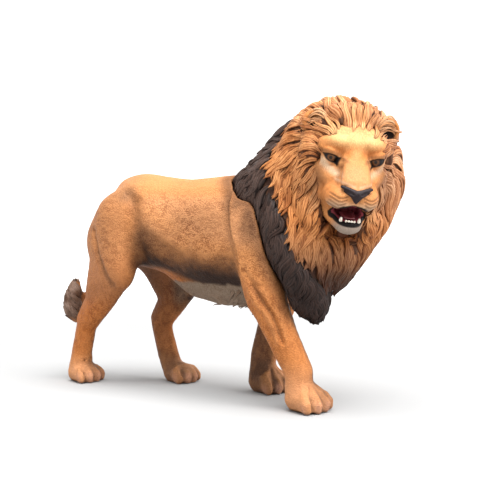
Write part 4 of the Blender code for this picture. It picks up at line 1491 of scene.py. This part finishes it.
for name, piece in manes.items():
    place_on_model(piece, *lock_slot(name))
for side, name in SIDE_NAMES.items():
    place_on_model(ears[side], face_material, "mane", (f"ear_{name}",))
    note(ears[side], "Hair", np.full(len(ears[side].data.vertices), 0.5))
    place_on_model(eyeballs[side], eye_material, "eye", (f"eye_{name}",))
place_on_model(nose, nose_material, "black", ("nose",))
place_on_model(tongue, tongue_material, "mouth", ("tongue",))
place_on_model(teeth, teeth_material)

# %% [markdown]
# ## Studio
# The figure stands in a white bowl: a flat floor that curves up into a wall all round, so that no
# horizon shows from any side. The light is a broad soft box overhead and a little in front, with a
# weak one beside the camera, and the bowl throws the rest back. Away from the figure the bowl also
# shines by itself, so that the ground round it comes out white.

# %% Floor, light and camera
def bowl(flat=750, wide=1700, cells=100, curl=0.0011):
    line = np.linspace(-wide, wide, cells + 1)
    x, y = (values.ravel() for values in np.meshgrid(line, line))
    rise = np.maximum(np.hypot(x, y) - flat, 0) ** 2 * curl
    corner = (np.arange(cells)[:, None] * (cells + 1) + np.arange(cells)).ravel()
    quads = np.stack([corner, corner + 1, corner + cells + 2, corner + cells + 1], 1)
    return mesh_piece("floor", np.stack([x, y, rise - 0.05], 1), quads)


SHADED, SHINING = 0.16, 0.38  # metres from the middle to where the shine starts and is full

floor = bowl()
floor_material, wire, link = finish("floor", Specular_IOR_Level=0.0, Emission_Strength=0.9)
dust = wire.noise(0.02, detail=1.0)
across, deep = (wire.node("SeparateXYZ", None, {0: wire.node("TexCoord", out=3)}, out=out) for out in (0, 1))
far = (across * across + deep * deep).eased(SHADED**2, SHINING**2)
link(Base_Color=dust.ramp((0.0, (0.37, 0.37, 0.37)), (1.0, (0.39, 0.39, 0.39))),
     Roughness=0.8 + 0.1 * dust, Emission_Color=far.ramp((0.0, (0.0, 0.0, 0.0)), (1.0, (1.0, 1.0, 1.0))))
floor.data.materials.append(floor_material)


def soft_box(name, at, towards, size, power):
    lamp = bpy.data.lights.new(name, "AREA")
    lamp.shape, lamp.size, lamp.energy = "DISK", size, power
    made = bpy.data.objects.new(name, lamp)
    bpy.context.scene.collection.objects.link(made)
    made.location = at
    made.rotation_euler = (Vector(towards) - Vector(at)).to_track_quat("-Z", "Y").to_euler()


MIDDLE = (0.0, -0.005, 0.045)
soft_box("overhead", (-0.14, -0.22, 0.95), MIDDLE, 1.1, 28.0)
soft_box("front", (0.05, -0.90, 0.50), MIDDLE, 0.45, 4.5)

scene = bpy.context.scene
scene.view_settings.view_transform = "Standard"
scene.world = bpy.data.worlds.new("studio")
scene.world.use_nodes = True
background = scene.world.node_tree.nodes["Background"]
background.inputs["Color"].default_value = (1.0, 1.0, 1.0, 1.0)
background.inputs["Strength"].default_value = 0.24

CAMERA = Vector((-0.2809, -0.2239, 0.0620))
AIM = Vector((0.0088, -0.0056, 0.0436))
camera = bpy.data.objects.new("camera", bpy.data.cameras.new("camera"))
scene.collection.objects.link(camera)
camera.data.lens, camera.data.sensor_width = 85.0, 36.0
camera.data.clip_start, camera.data.clip_end = 0.01, 10.0
camera.location = CAMERA
camera.rotation_euler = (AIM - CAMERA).to_track_quat("-Z", "Y").to_euler()
scene.camera = camera
